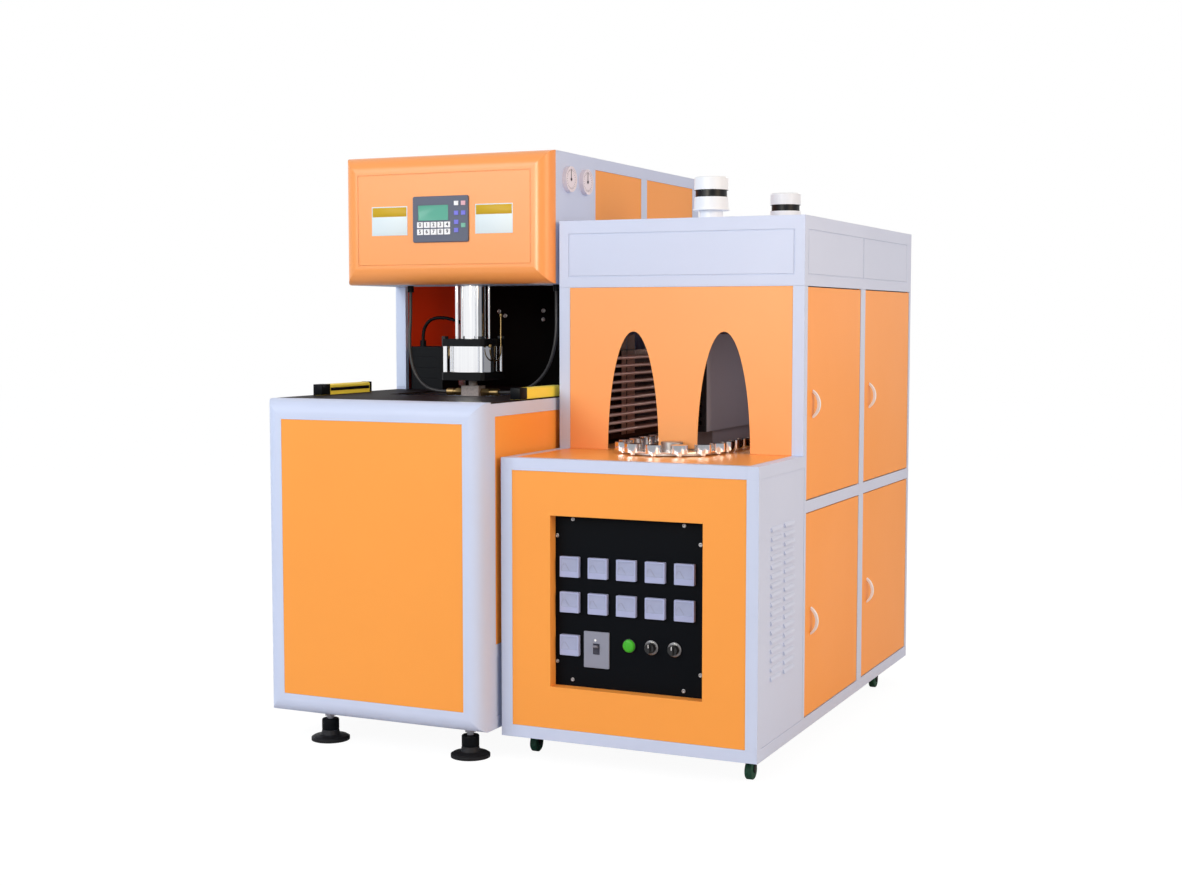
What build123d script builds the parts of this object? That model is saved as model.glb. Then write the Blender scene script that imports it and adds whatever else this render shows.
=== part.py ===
"""A semi-automatic blow moulding machine: the blow unit and, beside it, its rotary preform heater.

Millimetres. +X runs from the blow unit to the heater, +Y from the front to the rear, +Z up.
The origin is on the floor, under the middle of the whole set.
"""

import os
from math import asin, atan2, cos, degrees, pi, radians, sin, tan

from build123d import *

os.makedirs("parts", exist_ok=True)

# Stock, sheet and clearances
tube_wall = 2.5
weld_gap = 0.2
sheet = 2.0
fold = 18.0
panel_gap = 0.3
door_gap = 3.0
flush = 1.0
running = 0.05
seat = 0.3

# Blow unit, overall
blow_width = 710.0
blow_depth = 1600.0
plinth_height = 85.0
deck_height = 1000.0
head_top = 1725.0
head_bottom = 1334.0
head_set_back = 431.0
body_set_back = 694.0

# Blow unit, frame
blow_tube = 36.0
deck_sheet = 4.0
front_post = 24.0
lower_middle_post = 676.0
body_post = 18.0
middle_post = 47.0
middle_post_at = 1077.0
rear_post = 60.0
skirt_rail_top = 323.0

# Front of the lower cabinet
bezel_round = 40.0
bezel_border = 58.0
bezel_lip = 20.0

# Head
cover_round = 50.0
cover_sheet = 3.0
groove_border = 57.0
groove_width = 3.0
groove_depth = 1.2
controller_width = 191.0
controller_height = 138.0
controller_proud = 6.0
controller_depth = 45.0
controller_centre_x = 350.5
controller_centre_z = 1529.0
gauge_radius = 38.0
gauge_proud = 14.0
gauge_height = 1645.0
gauge_set_backs = (512.0, 630.0)

# Deck
mould_opening_width = 360.0
mould_opening_front = 350.0
mould_opening_rear = 660.0
curtain_length = 280.0
curtain_front = 205.0
curtain_width = 30.0
curtain_height = 32.0
curtain_inset = 5.0

# Blowing and stretching cylinders, one above the other on one axis
axis_set_back = 569.0
flange_side = 150.0
flange_chamfer = 10.0
lower_flange_bottom = 1040.0
lower_flange_thick = 25.0
upper_flange_bottom = 1145.0
upper_flange_thick = 23.0
drum_radius = 74.0
drum_wall = 6.0
drum_rod_radius = 6.0
drum_rod_offset = 64.0
barrel_radius = 39.0
barrel_wall = 3.0
barrel_top = 1640.0
top_cap_side = 100.0
top_cap_thick = 24.0
thin_rod_radius = 4.5
thin_rod_offset = 37.0
carrier_thick = 20.0
carrier_depth = 190.0
nozzle_rod_radius = 13.5
nozzle_bore_radius = 7.0
nozzle_piston_thick = 20.0
block_width = 62.0
block_depth = 46.0
block_bottom = 982.0
block_top = 1022.0
tip_radius = 22.0
tip_length = 28.0
nozzle_travel = 50.0
stretch_rod_radius = 6.0
stretch_travel = 300.0
stretch_piston_thick = 18.0
fitting_radius = 12.5
fitting_length = 60.0
fitting_height = 1002.0

# Hoses
hose_radius = 5.0
valve_hose_radius = 5.5
hose_left_in = 131.0
hose_right_in = 645.0
port_radius = 10.0
port_length = 20.0

# Valve box on the deck
valve_box_width = 120.0
valve_box_depth = 110.0
valve_box_height = 140.0
valve_box_left = 42.0
valve_box_set_back = 715.0

# Mould clamp
clamp_width = 460.0
clamp_bottom = 420.0
clamp_top = 940.0
platen_thick = 50.0
mould_depth = 400.0
clamp_travel = 180.0
rear_plate_gap = 150.0
guide_bar_radius = 25.0
guide_bar_inset = 55.0
clamp_rod_radius = 24.0
clamp_cylinder_radius = 90.0
clamp_cylinder_wall = 8.0
clamp_cylinder_length = 270.0
clamp_cap_thick = 30.0
clamp_cap_side = 200.0
mould_bolt_radius = 6.5
mould_bolt_span_x = 260.0
mould_bolt_span_z = 360.0
mould_bolt_depth = 30.0

# Levelling feet
foot_pad_radius = 56.0
foot_pad_height = 12.0
foot_boss_radius = 27.5
foot_boss_height = 30.0
foot_stem_radius = 9.5
foot_nut_radius = 17.0
foot_nut_height = 14.0
foot_left = 164.0
foot_right = 631.0

# Heater, overall
unit_gap = 15.0
heater_width = 752.0
heater_depth = 1572.0
heater_set_back = 49.0
heater_bottom = 68.0
counter_height = 848.0
heater_top = 1516.0
hood_bottom = 1321.0
oven_set_back = 375.0

# Heater, frame
heater_tube = 34.0
heater_front_post = 28.0
vent_post = 17.0
oven_post = 30.0
door_post = 50.0
door_post_at = 949.0
heater_rear_post = 20.0
door_rail_bottom = 686.0
counter_sheet = 3.0

# Doors
pivot_radius = 3.0
pivot_inset = 6.0
pivot_length = 9.0
handle_height = 82.0
handle_width = 12.0
handle_thick = 7.0
handle_reach = 22.0
handle_inset = 52.0
base_handle_bottom = 331.0
oven_handle_bottom = 949.0

# Vent louvres
louvre_width = 86.0
louvre_height = 12.0
louvre_proud = 6.0
louvre_wall = 1.2
louvre_pitch = 25.0
louvre_rows = 17
louvre_lowest = 274.0
louvre_columns = (143.0, 254.0)

# Control recess and its instruments
recess_left = 151.0
recess_width = 446.0
recess_bottom = 219.0
recess_height = 474.0
recess_depth = 35.0
plate_margin = 12.0
plate_thick = 3.0
meter_side = 57.0
meter_proud = 12.0
meter_shank_radius = 19.0
meter_shank_length = 42.0
meter_pitch_x = 84.5
meter_first_x = 198.0
meter_rows_z = (551.0, 453.0, 334.0)
breaker_x = 277.0
breaker_z = 326.0
breaker_plate_width = 75.0
breaker_plate_height = 100.0
breaker_proud = 5.0
breaker_body_width = 54.0
breaker_body_height = 80.0
breaker_body_depth = 60.0
toggle_barrel_radius = 9.0
toggle_width = 12.0
toggle_length = 16.0
toggle_slot_height = 26.0
lamp_x = 374.0
knob_xs = (438.0, 505.0)
knob_z = 345.0
bezel_radius = 20.0
knob_radius = 15.0
knob_depth = 18.0
knob_shaft_radius = 4.0
switch_side = 34.0
switch_depth = 45.0

# Oven
arch_offset = 139.5
arch_half_width = 80.0
arch_head = 128.0
arch_height = hood_bottom - counter_height - arch_head
lamp_count = 10
lamp_lowest = counter_height + 36.0
lamp_pitch = 25.0
lamp_radius = 5.5
lamp_inset = 62.0
lamp_front = 440.0
lamp_length = 1070.0
reflector_inset = 40.0
bracket_depth = 34.0
bracket_thick = 3.0
duct_half_width = 70.0
duct_bottom = counter_height + 57.0
duct_head = 136.0
duct_top = hood_bottom - duct_head
duct_front = 421.0
duct_length = 1000.0
duct_foot_front = 520.0
duct_foot_length = 620.0
duct_slots = 10

# Preform chain and its wheels
chain_teeth = 12
chain_straight_links = 14
chain_front = 333.0
roller_radius = 9.0
roller_bottom = counter_height + 2.0
wheel_bottom = counter_height + 2.6
wheel_thick = 6.0
link_thick = 3.5
link_width = 18.0
link_bottom = counter_height + 9.0
holder_radius = 24.0
holder_top = counter_height + 33.0
wheel_hub_radius = 32.0
wheel_shaft_radius = 10.0
shaft_boss_radius = 24.0
shaft_boss_length = 40.0
gearbox_side = 110.0
gearbox_height = 90.0
motor_radius = 58.0
motor_length = 190.0

# Vent stacks
stack_radius = 51.0
stack_neck_radius = 35.0
stack_flange_radius = 54.0
stack_band_radius = 47.0
stack_height = 135.0
stack_cap_height = 39.0
stack_band_height = 20.5
stack_collar_height = 34.5
stack_flange_height = 5.0
stack_set_backs = (640.0, 1350.0)

# Castors
castor_wheel_radius = 25.0
castor_wheel_width = 20.0
castor_axle_radius = 4.0
castor_stem_radius = 6.0
castor_crown_radius = 18.0
castor_crown_thick = 8.0
castor_fork_thick = 3.0
castor_trail = 12.0
castor_inset = 50.0
front_castor_set_back = 106.0
rear_castor_set_back = 1347.0

# Where the units stand
blow_left = -(blow_width + unit_gap + heater_width + handle_reach) / 2
blow_right = blow_left + blow_width
blow_middle = (blow_left + blow_right) / 2
heater_left = blow_right + unit_gap
heater_right = heater_left + heater_width
heater_middle = (heater_left + heater_right) / 2
louvre_reach = louvre_proud - flush
front = -(heater_set_back + heater_depth + louvre_reach - bezel_round) / 2
blow_rear = front + blow_depth
frame_front = front + bezel_lip
head_front = front + head_set_back
body_front = front + body_set_back
heater_front = front + heater_set_back
heater_rear = heater_front + heater_depth
oven_front = heater_front + oven_set_back
stack_y = front + axis_set_back
deck_rail_top = deck_height - deck_sheet
deck_rail_bottom = deck_rail_top - blow_tube


def block(low, high, mode=Mode.ADD):
    """A straight-sided piece of stock between two corners."""
    centre = tuple((a + b) / 2 for a, b in zip(low, high))
    with Locations(centre):
        Box(*(b - a for a, b in zip(low, high)), mode=mode)


def tube(low, high, capped=False):
    """A square tube between two corners, along its longest side; its near end may be closed."""
    lengths = [b - a for a, b in zip(low, high)]
    run = lengths.index(max(lengths))
    middle = [(a + b) / 2 for a, b in zip(low, high)]
    middle[run] = low[run]
    x_dir, z_dir, wide, deep = (
        ((0, 1, 0), (1, 0, 0), lengths[1], lengths[2]),
        ((1, 0, 0), (0, 1, 0), lengths[0], lengths[2]),
        ((1, 0, 0), (0, 0, 1), lengths[0], lengths[1]),
    )[run]
    with BuildSketch(Plane(origin=tuple(middle), x_dir=x_dir, z_dir=z_dir)) as section:
        Rectangle(wide, deep)
        Rectangle(wide - 2 * tube_wall, deep - 2 * tube_wall, mode=Mode.SUBTRACT)
    extrude(section.sketch, amount=lengths[run])
    if capped:
        cap_high = [b if i != run else low[run] + tube_wall for i, b in enumerate(high)]
        block(low, cap_high)


def tray(low, high, axis, outward, depth_wall=sheet):
    """A sheet panel with its edges folded back; its face is at the outward end of the axis."""
    inner_low = [a + depth_wall for a in low]
    inner_high = [b - depth_wall for b in high]
    if outward > 0:
        inner_low[axis] = low[axis]
    else:
        inner_high[axis] = high[axis]
    block(low, high)
    block(inner_low, inner_high, mode=Mode.SUBTRACT)


def side_tray(face, outward, y_span, z_span):
    """A folded panel on a side of a unit: its outer face is at X = face."""
    inner = face - outward * fold
    tray((min(face, inner), y_span[0], z_span[0]), (max(face, inner), y_span[1], z_span[1]), 0, outward)


def post(x_span, y_span, z_span):
    """An upright of the frame, shortened by the weld gap at each end."""
    low = (x_span[0], y_span[0], z_span[0] + weld_gap)
    high = (x_span[1], y_span[1], z_span[1] - weld_gap)
    tube(low, high)


def cross_tube(x_span, y, z, deep, high):
    """A tube that runs across the frame between its side members."""
    tube((x_span[0] + weld_gap, y, z), (x_span[1] - weld_gap, y + deep, z + high))


def front_plane(y):
    """A plane that faces the front, so that a sketch on it reads as (X, Z)."""
    return Plane.XZ.offset(-y)


def round_bar(x, y, bottom, top, radius, mode=Mode.ADD):
    """An upright round bar or hole."""
    with Locations((x, y, (bottom + top) / 2)):
        Cylinder(radius, top - bottom, mode=mode)


def round_bar_y(x, z, near, far, radius, mode=Mode.ADD):
    """A round bar or hole that runs from front to rear."""
    with Locations(Location((x, (near + far) / 2, z), (90, 0, 0))):
        Cylinder(radius, far - near, mode=mode)


def route(points, radius, name):
    """A hose: straight runs joined by arcs as large as the runs allow."""
    corners = [Vector(*p) for p in points]
    runs = [b - a for a, b in zip(corners, corners[1:])]
    radii = []
    for before, after in zip(runs, runs[1:]):
        half_turn = radians(before.get_angle(after)) / 2
        radii.append(0.45 * min(before.length, after.length) / tan(half_turn))
    with BuildPart() as hose:
        with BuildLine() as path:
            FilletPolyline(*points, radius=radii)
        with BuildSketch(Plane(origin=path.line @ 0, z_dir=path.line % 0)):
            Circle(radius)
        sweep()
    expected = pi * radius**2 * sum(edge.length for edge in path.edges())
    print(name, "radii", [round(r) for r in radii], "volume ratio", round(hose.part.volume / expected, 4))
    return hose


# Side members of the blow unit, and the posts of its two storeys
blow_sides = ((blow_left, blow_left + blow_tube), (blow_right - blow_tube, blow_right))
blow_inside = (blow_left + blow_tube, blow_right - blow_tube)
lower_posts = (
    (frame_front, front_post),
    (front + lower_middle_post, blow_tube),
    (blow_rear - rear_post, rear_post),
)
upper_posts = (
    (body_front, body_post),
    (front + middle_post_at, middle_post),
    (blow_rear - rear_post, rear_post),
)
bottom_rail_top = plinth_height + blow_tube
top_rail_bottom = head_top - blow_tube
skirt_rail_bottom = skirt_rail_top - blow_tube
clamp_rail_xs = (blow_middle - clamp_width / 2, blow_middle + clamp_width / 2 - blow_tube)
feet = [
    (blow_left + x, y)
    for x in (foot_left, foot_right)
    for y in (frame_front + blow_tube / 2, blow_rear - foot_pad_radius)
]

with BuildPart() as blow_frame:
    for x_span in blow_sides:
        tube((x_span[0], frame_front, plinth_height), (x_span[1], blow_rear, bottom_rail_top))
        tube((x_span[0], frame_front, deck_rail_bottom), (x_span[1], blow_rear, deck_rail_top))
        tube((x_span[0], body_front, top_rail_bottom), (x_span[1], blow_rear, head_top), capped=True)
        for y, deep in lower_posts:
            post(x_span, (y, y + deep), (bottom_rail_top, deck_rail_bottom))
        for y, deep in upper_posts:
            post(x_span, (y, y + deep), (deck_height, top_rail_bottom))
        for (y, deep), (next_y, _) in zip(lower_posts, lower_posts[1:]):
            tube(
                (x_span[0], y + deep + weld_gap, skirt_rail_bottom),
                (x_span[1], next_y - weld_gap, skirt_rail_top),
            )
    for y in (frame_front, blow_rear - foot_pad_radius - blow_tube / 2):
        cross_tube(blow_inside, y, plinth_height, blow_tube, blow_tube)
    for y, deep in ((frame_front, front_post), (blow_rear - rear_post, blow_tube)):
        cross_tube(blow_inside, y, clamp_bottom - blow_tube, deep, blow_tube)
    for y in (frame_front, front + mould_opening_rear + blow_tube, blow_rear - blow_tube):
        cross_tube(blow_inside, y, deck_rail_bottom, blow_tube, blow_tube)
    for y in (body_front, blow_rear - blow_tube):
        cross_tube(blow_inside, y, top_rail_bottom, blow_tube, blow_tube)
    for x in clamp_rail_xs:
        tube(
            (x, frame_front + front_post + weld_gap, clamp_bottom - blow_tube),
            (x + blow_tube, blow_rear - rear_post - weld_gap, clamp_bottom),
        )
    for face, outward in ((blow_left + flush, -1), (blow_right - flush, 1)):
        for (y, deep), (next_y, _) in zip(lower_posts, lower_posts[1:]):
            side_tray(
                face,
                outward,
                (y + deep + panel_gap, next_y - panel_gap),
                (bottom_rail_top + panel_gap, skirt_rail_bottom - panel_gap),
            )
    for x, y in feet:
        round_bar(x, y, plinth_height, plinth_height + tube_wall, foot_stem_radius + running, Mode.SUBTRACT)
blow_frame.part.label = "blow_frame"
export_step(blow_frame.part, "parts/blow_frame.step")

bezel_height = deck_height - plinth_height
bezel_middle = (deck_height + plinth_height) / 2
panel_width = blow_width - 2 * bezel_border
panel_height = bezel_height - 2 * bezel_border

def rounded_front(back, deep, wide, high, middle, round_radius):
    """A plain block whose front edges are rounded, standing on a plane that faces the front."""
    with BuildPart() as rounded:
        with BuildSketch(front_plane(back)) as outline:
            with Locations((blow_middle, middle)):
                Rectangle(wide, high)
        extrude(outline.sketch, amount=deep)
        fillet(rounded.faces().sort_by(Axis.Y)[0].edges(), round_radius)
    return rounded.part


def opening_block(margin):
    """The straight opening of the bezel, or a block larger than it by a margin."""
    return (
        (blow_left + bezel_border - margin, front - bezel_round, plinth_height + bezel_border - margin),
        (blow_right - bezel_border + margin, frame_front, deck_height - bezel_border + margin),
    )


bezel_depth = bezel_lip + bezel_round

with BuildPart() as bezel_hollow:
    add(
        rounded_front(
            frame_front,
            bezel_depth - cover_sheet,
            blow_width - 2 * cover_sheet,
            bezel_height - 2 * cover_sheet,
            bezel_middle,
            bezel_round - cover_sheet,
        )
    )
    block(*opening_block(cover_sheet), mode=Mode.SUBTRACT)

with BuildPart() as front_bezel:
    add(rounded_front(frame_front, bezel_depth, blow_width, bezel_height, bezel_middle, bezel_round))
    add(bezel_hollow.part, mode=Mode.SUBTRACT)
    block(*opening_block(0), mode=Mode.SUBTRACT)
front_bezel.part.label = "front_bezel"
export_step(front_bezel.part, "parts/front_bezel.step")

with BuildPart() as front_panel:
    tray(
        (
            blow_left + bezel_border + seat,
            front - bezel_round + panel_gap,
            plinth_height + bezel_border + seat,
        ),
        (
            blow_right - bezel_border - seat,
            front - bezel_round + panel_gap + fold,
            deck_height - bezel_border - seat,
        ),
        1,
        -1,
    )
front_panel.part.label = "front_panel"
export_step(front_panel.part, "parts/front_panel.step")

with BuildPart() as lower_side_panels:
    for face, outward in ((blow_left + flush, -1), (blow_right - flush, 1)):
        for (y, deep), (next_y, _) in zip(lower_posts, lower_posts[1:]):
            side_tray(
                face,
                outward,
                (y + deep + panel_gap, next_y - panel_gap),
                (skirt_rail_top + panel_gap, deck_rail_bottom - panel_gap),
            )
lower_side_panels.part.label = "lower_side_panels"
export_step(lower_side_panels.part, "parts/lower_side_panels.step")

with BuildPart() as upper_side_panels:
    for face, outward in ((blow_left + flush, -1), (blow_right - flush, 1)):
        for (y, deep), (next_y, _) in zip(upper_posts, upper_posts[1:]):
            side_tray(
                face,
                outward,
                (y + deep + panel_gap, next_y - panel_gap),
                (deck_height + panel_gap, top_rail_bottom - panel_gap),
            )
upper_side_panels.part.label = "upper_side_panels"
export_step(upper_side_panels.part, "parts/upper_side_panels.step")

back_span = (blow_left + blow_tube + panel_gap, blow_right - blow_tube - panel_gap)
back_face = blow_rear - flush

louvre_bow = (louvre_proud**2 + louvre_height**2) / (2 * louvre_proud)
louvre_sweep = degrees(asin(louvre_height / louvre_bow))

with BuildPart() as pressed_louvre:
    with BuildSketch(Plane.YZ):
        with BuildLine():
            CenterArc((louvre_proud - louvre_bow, -louvre_height / 2), louvre_bow, 0, louvre_sweep)
            Line((louvre_proud, -louvre_height / 2), (0, -louvre_height / 2))
            Line((0, -louvre_height / 2), (0, louvre_height / 2))
        make_face()
    extrude(amount=louvre_width / 2, both=True)
    offset(
        amount=-louvre_wall,
        openings=[
            pressed_louvre.faces().sort_by(Axis.Y)[0],
            pressed_louvre.faces().sort_by(Axis.Z)[0],
        ],
    )


def louvres(places, turn):
    """Pressed louvres over slots in a sheet; turned 0 they stand out towards +Y."""
    with Locations(*(Location(place, (0, 0, turn)) for place in places)):
        Box(
            louvre_width - 2 * louvre_wall,
            2 * sheet + panel_gap,
            louvre_height - louvre_wall,
            mode=Mode.SUBTRACT,
        )
        add(pressed_louvre.part)


with BuildPart() as back_covers:
    tray(
        (back_span[0], back_face - fold, bottom_rail_top + panel_gap),
        (back_span[1], back_face, deck_rail_bottom - panel_gap),
        1,
        1,
    )
    tray(
        (back_span[0], back_face - fold, deck_height + panel_gap),
        (back_span[1], back_face, top_rail_bottom - panel_gap),
        1,
        1,
    )
    tray(
        (back_span[0], body_front + blow_tube + panel_gap, head_top - flush - fold),
        (back_span[1], blow_rear - blow_tube - panel_gap, head_top - flush),
        2,
        1,
    )
    louvres(
        [
            (blow_middle + side * louvre_width, back_face, skirt_rail_top + row * louvre_pitch)
            for side in (-1, 1)
            for row in range(6)
        ],
        0,
    )
back_covers.part.label = "back_covers"
export_step(back_covers.part, "parts/back_covers.step")

# The deck lies on the rails; the bulkhead stands on it behind the cylinders
opening_middle_y = front + (mould_opening_front + mould_opening_rear) / 2
bulkhead_y = front + middle_post_at + fold

with BuildPart() as table_deck:
    block(
        (blow_left + flush, frame_front, deck_rail_top),
        (blow_right - flush, blow_rear - rear_post - weld_gap, deck_height),
    )
    with BuildSketch(Plane.XY.offset(deck_rail_top)):
        with Locations((blow_middle, opening_middle_y)):
            RectangleRounded(mould_opening_width, mould_opening_rear - mould_opening_front, fold)
    extrude(amount=deck_sheet, mode=Mode.SUBTRACT)
    bulkhead_bottom = deck_height + weld_gap
    block(
        (blow_inside[0] + seat, bulkhead_y, bulkhead_bottom),
        (blow_inside[1] - seat, bulkhead_y + sheet, top_rail_bottom - panel_gap),
    )
    block(
        (blow_inside[0] + seat, bulkhead_y, bulkhead_bottom),
        (blow_inside[1] - seat, bulkhead_y + fold, bulkhead_bottom + sheet),
    )
table_deck.part.label = "table_deck"
export_step(table_deck.part, "parts/table_deck.step")

head_back = body_front - weld_gap
throat_side = 2 * (thin_rod_offset + thin_rod_radius) + fold

with BuildPart() as head_shell:
    block((blow_left, head_front, head_bottom), (blow_right, head_back, head_top))
    block(
        (blow_left + cover_sheet, head_front, head_bottom + cover_sheet),
        (blow_right - cover_sheet, head_back, head_top - cover_sheet),
        mode=Mode.SUBTRACT,
    )
    with BuildSketch(Plane.XY.offset(head_bottom)):
        with Locations((blow_middle, stack_y)):
            RectangleRounded(throat_side, throat_side, fold / 2)
    extrude(amount=cover_sheet, mode=Mode.SUBTRACT)
    for set_back in gauge_set_backs:
        with Locations(Location((blow_right, front + set_back, gauge_height), (0, 90, 0))):
            Cylinder(gauge_radius / 2 + running, 4 * cover_sheet, mode=Mode.SUBTRACT)
head_shell.part.label = "head_shell"
export_step(head_shell.part, "parts/head_shell.step")

cover_front = head_front - cover_round
cover_height = head_top - head_bottom
cover_middle = (head_top + head_bottom) / 2
controller_x = blow_left + controller_centre_x


with BuildPart() as head_cover:
    add(rounded_front(head_front, cover_round, blow_width, cover_height, cover_middle, cover_round - flush))
    add(
        rounded_front(
            head_front,
            cover_round - cover_sheet,
            blow_width - 2 * cover_sheet,
            cover_height - 2 * cover_sheet,
            cover_middle,
            cover_round - cover_sheet - flush,
        ),
        mode=Mode.SUBTRACT,
    )
    with BuildSketch(front_plane(cover_front + groove_depth)):
        with Locations((blow_middle, cover_middle)):
            Rectangle(blow_width - 2 * groove_border, cover_height - 2 * groove_border)
            Rectangle(
                blow_width - 2 * groove_border - 2 * groove_width,
                cover_height - 2 * groove_border - 2 * groove_width,
                mode=Mode.SUBTRACT,
            )
    extrude(amount=groove_depth, mode=Mode.SUBTRACT)
    with BuildSketch(front_plane(head_front)):
        with Locations((controller_x, controller_centre_z)):
            Rectangle(controller_width - 2 * fold, controller_height - 2 * fold)
    extrude(amount=cover_round, mode=Mode.SUBTRACT)
head_cover.part.label = "head_cover"
export_step(head_cover.part, "parts/head_cover.step")

# The controller fits through the cover; its keys and screen are raised on or let into its face
controller_back = cover_front - controller_proud
screen_width = 105.0
screen_height = 47.0
screen_centre = (-24.0, 19.0)
number_keys = (-22.0, -27.5)
number_pitch = (23.5, 21.0)
number_size = (20.5, 17.5)
side_keys = ((56.0, 46.0), (80.0, 46.0), (56.0, 17.0), (80.0, 17.0), (56.0, -10.0), (56.0, -34.0), (80.0, -20.0))
side_size = (15.0, 13.0)
key_proud = 0.8

with BuildPart() as controller:
    with BuildSketch(front_plane(cover_front)):
        with Locations((controller_x, controller_centre_z)):
            RectangleRounded(controller_width, controller_height, controller_proud)
    extrude(amount=controller_proud)
    chamfer(controller.faces().sort_by(Axis.Y)[0].edges(), controller_proud / 3)
    with BuildSketch(front_plane(controller_back + flush)):
        with Locations((controller_x + screen_centre[0], controller_centre_z + screen_centre[1])):
            Rectangle(screen_width, screen_height)
    extrude(amount=flush, mode=Mode.SUBTRACT)
    with BuildSketch(front_plane(controller_back)):
        with Locations((controller_x + number_keys[0], controller_centre_z + number_keys[1])):
            with GridLocations(*number_pitch, 5, 2):
                Rectangle(*number_size)
        with Locations(*((controller_x + x, controller_centre_z + z) for x, z in side_keys)):
            Rectangle(*side_size)
    extrude(amount=key_proud)
    with BuildSketch(front_plane(cover_front + controller_depth)):
        with Locations((controller_x, controller_centre_z)):
            Rectangle(controller_width - 2 * fold - seat, controller_height - 2 * fold - seat)
    extrude(amount=controller_depth)
controller.part.label = "controller"
export_step(controller.part, "parts/controller.step")

with BuildPart() as pressure_gauges:
    for set_back in gauge_set_backs:
        gauge_plane = Plane(
            origin=(blow_right, front + set_back, gauge_height), x_dir=(0, 1, 0), z_dir=(1, 0, 0)
        )
        with BuildSketch(gauge_plane):
            Circle(gauge_radius)
        extrude(amount=gauge_proud)
        with BuildSketch(gauge_plane.offset(gauge_proud)):
            Circle(gauge_radius - 2 * sheet)
        extrude(amount=-sheet, mode=Mode.SUBTRACT)
        with BuildSketch(gauge_plane.offset(gauge_proud - sheet)):
            Circle(sheet)
            with Locations(Location((0, gauge_radius / 4), 0)):
                Rectangle(flush, gauge_radius / 2)
        extrude(amount=flush)
        with BuildSketch(gauge_plane):
            Circle(gauge_radius / 2)
        extrude(amount=-fold)
pressure_gauges.part.label = "pressure_gauges"
export_step(pressure_gauges.part, "parts/pressure_gauges.step")

# Cylinders
lower_flange_top = lower_flange_bottom + lower_flange_thick
upper_flange_top = upper_flange_bottom + upper_flange_thick
carrier_bottom = head_bottom + cover_sheet
carrier_top = carrier_bottom + carrier_thick
top_cap_top = barrel_top + top_cap_thick
nut_height = 8.0
stack_axis = Location((blow_middle, stack_y, 0))


def square_cap(bottom, top, side):
    """A square end cap of an air cylinder with chamfered corners."""
    with BuildPart() as cap:
        with BuildSketch(Plane.XY.offset(bottom)) as outline:
            with Locations((blow_middle, stack_y)):
                Rectangle(side, side)
            chamfer(outline.vertices(), flange_chamfer)
        extrude(outline.sketch, amount=top - bottom)
    return cap.part


def corner_points(offset_from_axis):
    """The four corners of a square about the cylinders' axis."""
    return [
        (blow_middle + x * offset_from_axis, stack_y + y * offset_from_axis)
        for x in (-1, 1)
        for y in (-1, 1)
    ]


with BuildPart() as cylinder_flanges:
    add(square_cap(lower_flange_bottom, lower_flange_top, flange_side))
    round_bar(
        blow_middle, stack_y, lower_flange_bottom, lower_flange_top, nozzle_rod_radius + running, Mode.SUBTRACT
    )
    add(square_cap(upper_flange_bottom, upper_flange_top, flange_side))
    add(square_cap(barrel_top, top_cap_top, top_cap_side))
    round_bar(
        blow_middle,
        stack_y,
        upper_flange_bottom,
        upper_flange_top,
        stretch_rod_radius + running,
        Mode.SUBTRACT,
    )
    block(
        (blow_left + cover_sheet + seat, stack_y - carrier_depth / 2, carrier_bottom),
        (blow_right - cover_sheet - seat, stack_y + carrier_depth / 2, carrier_top),
    )
    round_bar(blow_middle, stack_y, carrier_bottom, carrier_top, barrel_radius + running, Mode.SUBTRACT)
    for x, y in corner_points(thin_rod_offset):
        for bottom, top in ((carrier_bottom, carrier_top), (barrel_top, top_cap_top)):
            round_bar(x, y, bottom, top, thin_rod_radius + running, Mode.SUBTRACT)
cylinder_flanges.part.label = "cylinder_flanges"
export_step(cylinder_flanges.part, "parts/cylinder_flanges.step")

with BuildPart() as air_cylinders:
    for radius, wall, bottom, top in (
        (drum_radius, drum_wall, lower_flange_top, upper_flange_bottom),
        (barrel_radius, barrel_wall, upper_flange_top, barrel_top),
    ):
        with BuildSketch(Plane.XY.offset(bottom)):
            with Locations((blow_middle, stack_y)):
                Circle(radius)
                Circle(radius - wall, mode=Mode.SUBTRACT)
        extrude(amount=top - bottom)
air_cylinders.part.label = "air_cylinders"
export_step(air_cylinders.part, "parts/air_cylinders.step")

with BuildPart() as cylinder_tie_rods:
    for x, y in corner_points(drum_rod_offset):
        round_bar(x, y, lower_flange_top, upper_flange_bottom, drum_rod_radius)
        with BuildSketch(Plane.XY.offset(upper_flange_top)):
            with Locations((x, y)):
                RegularPolygon(2 * drum_rod_radius, 6)
        extrude(amount=nut_height)
    for x, y in corner_points(thin_rod_offset):
        round_bar(x, y, upper_flange_top, top_cap_top, thin_rod_radius)
        for bottom in (carrier_top, top_cap_top):
            with BuildSketch(Plane.XY.offset(bottom)):
                with Locations((x, y)):
                    RegularPolygon(2 * thin_rod_radius, 6)
            extrude(amount=nut_height)
cylinder_tie_rods.part.label = "cylinder_tie_rods"
export_step(cylinder_tie_rods.part, "parts/cylinder_tie_rods.step")

# Moving rods: both are drawn at the top of their travel
piston_top = upper_flange_bottom - seat
piston_radius = drum_radius - drum_wall - seat

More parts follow.
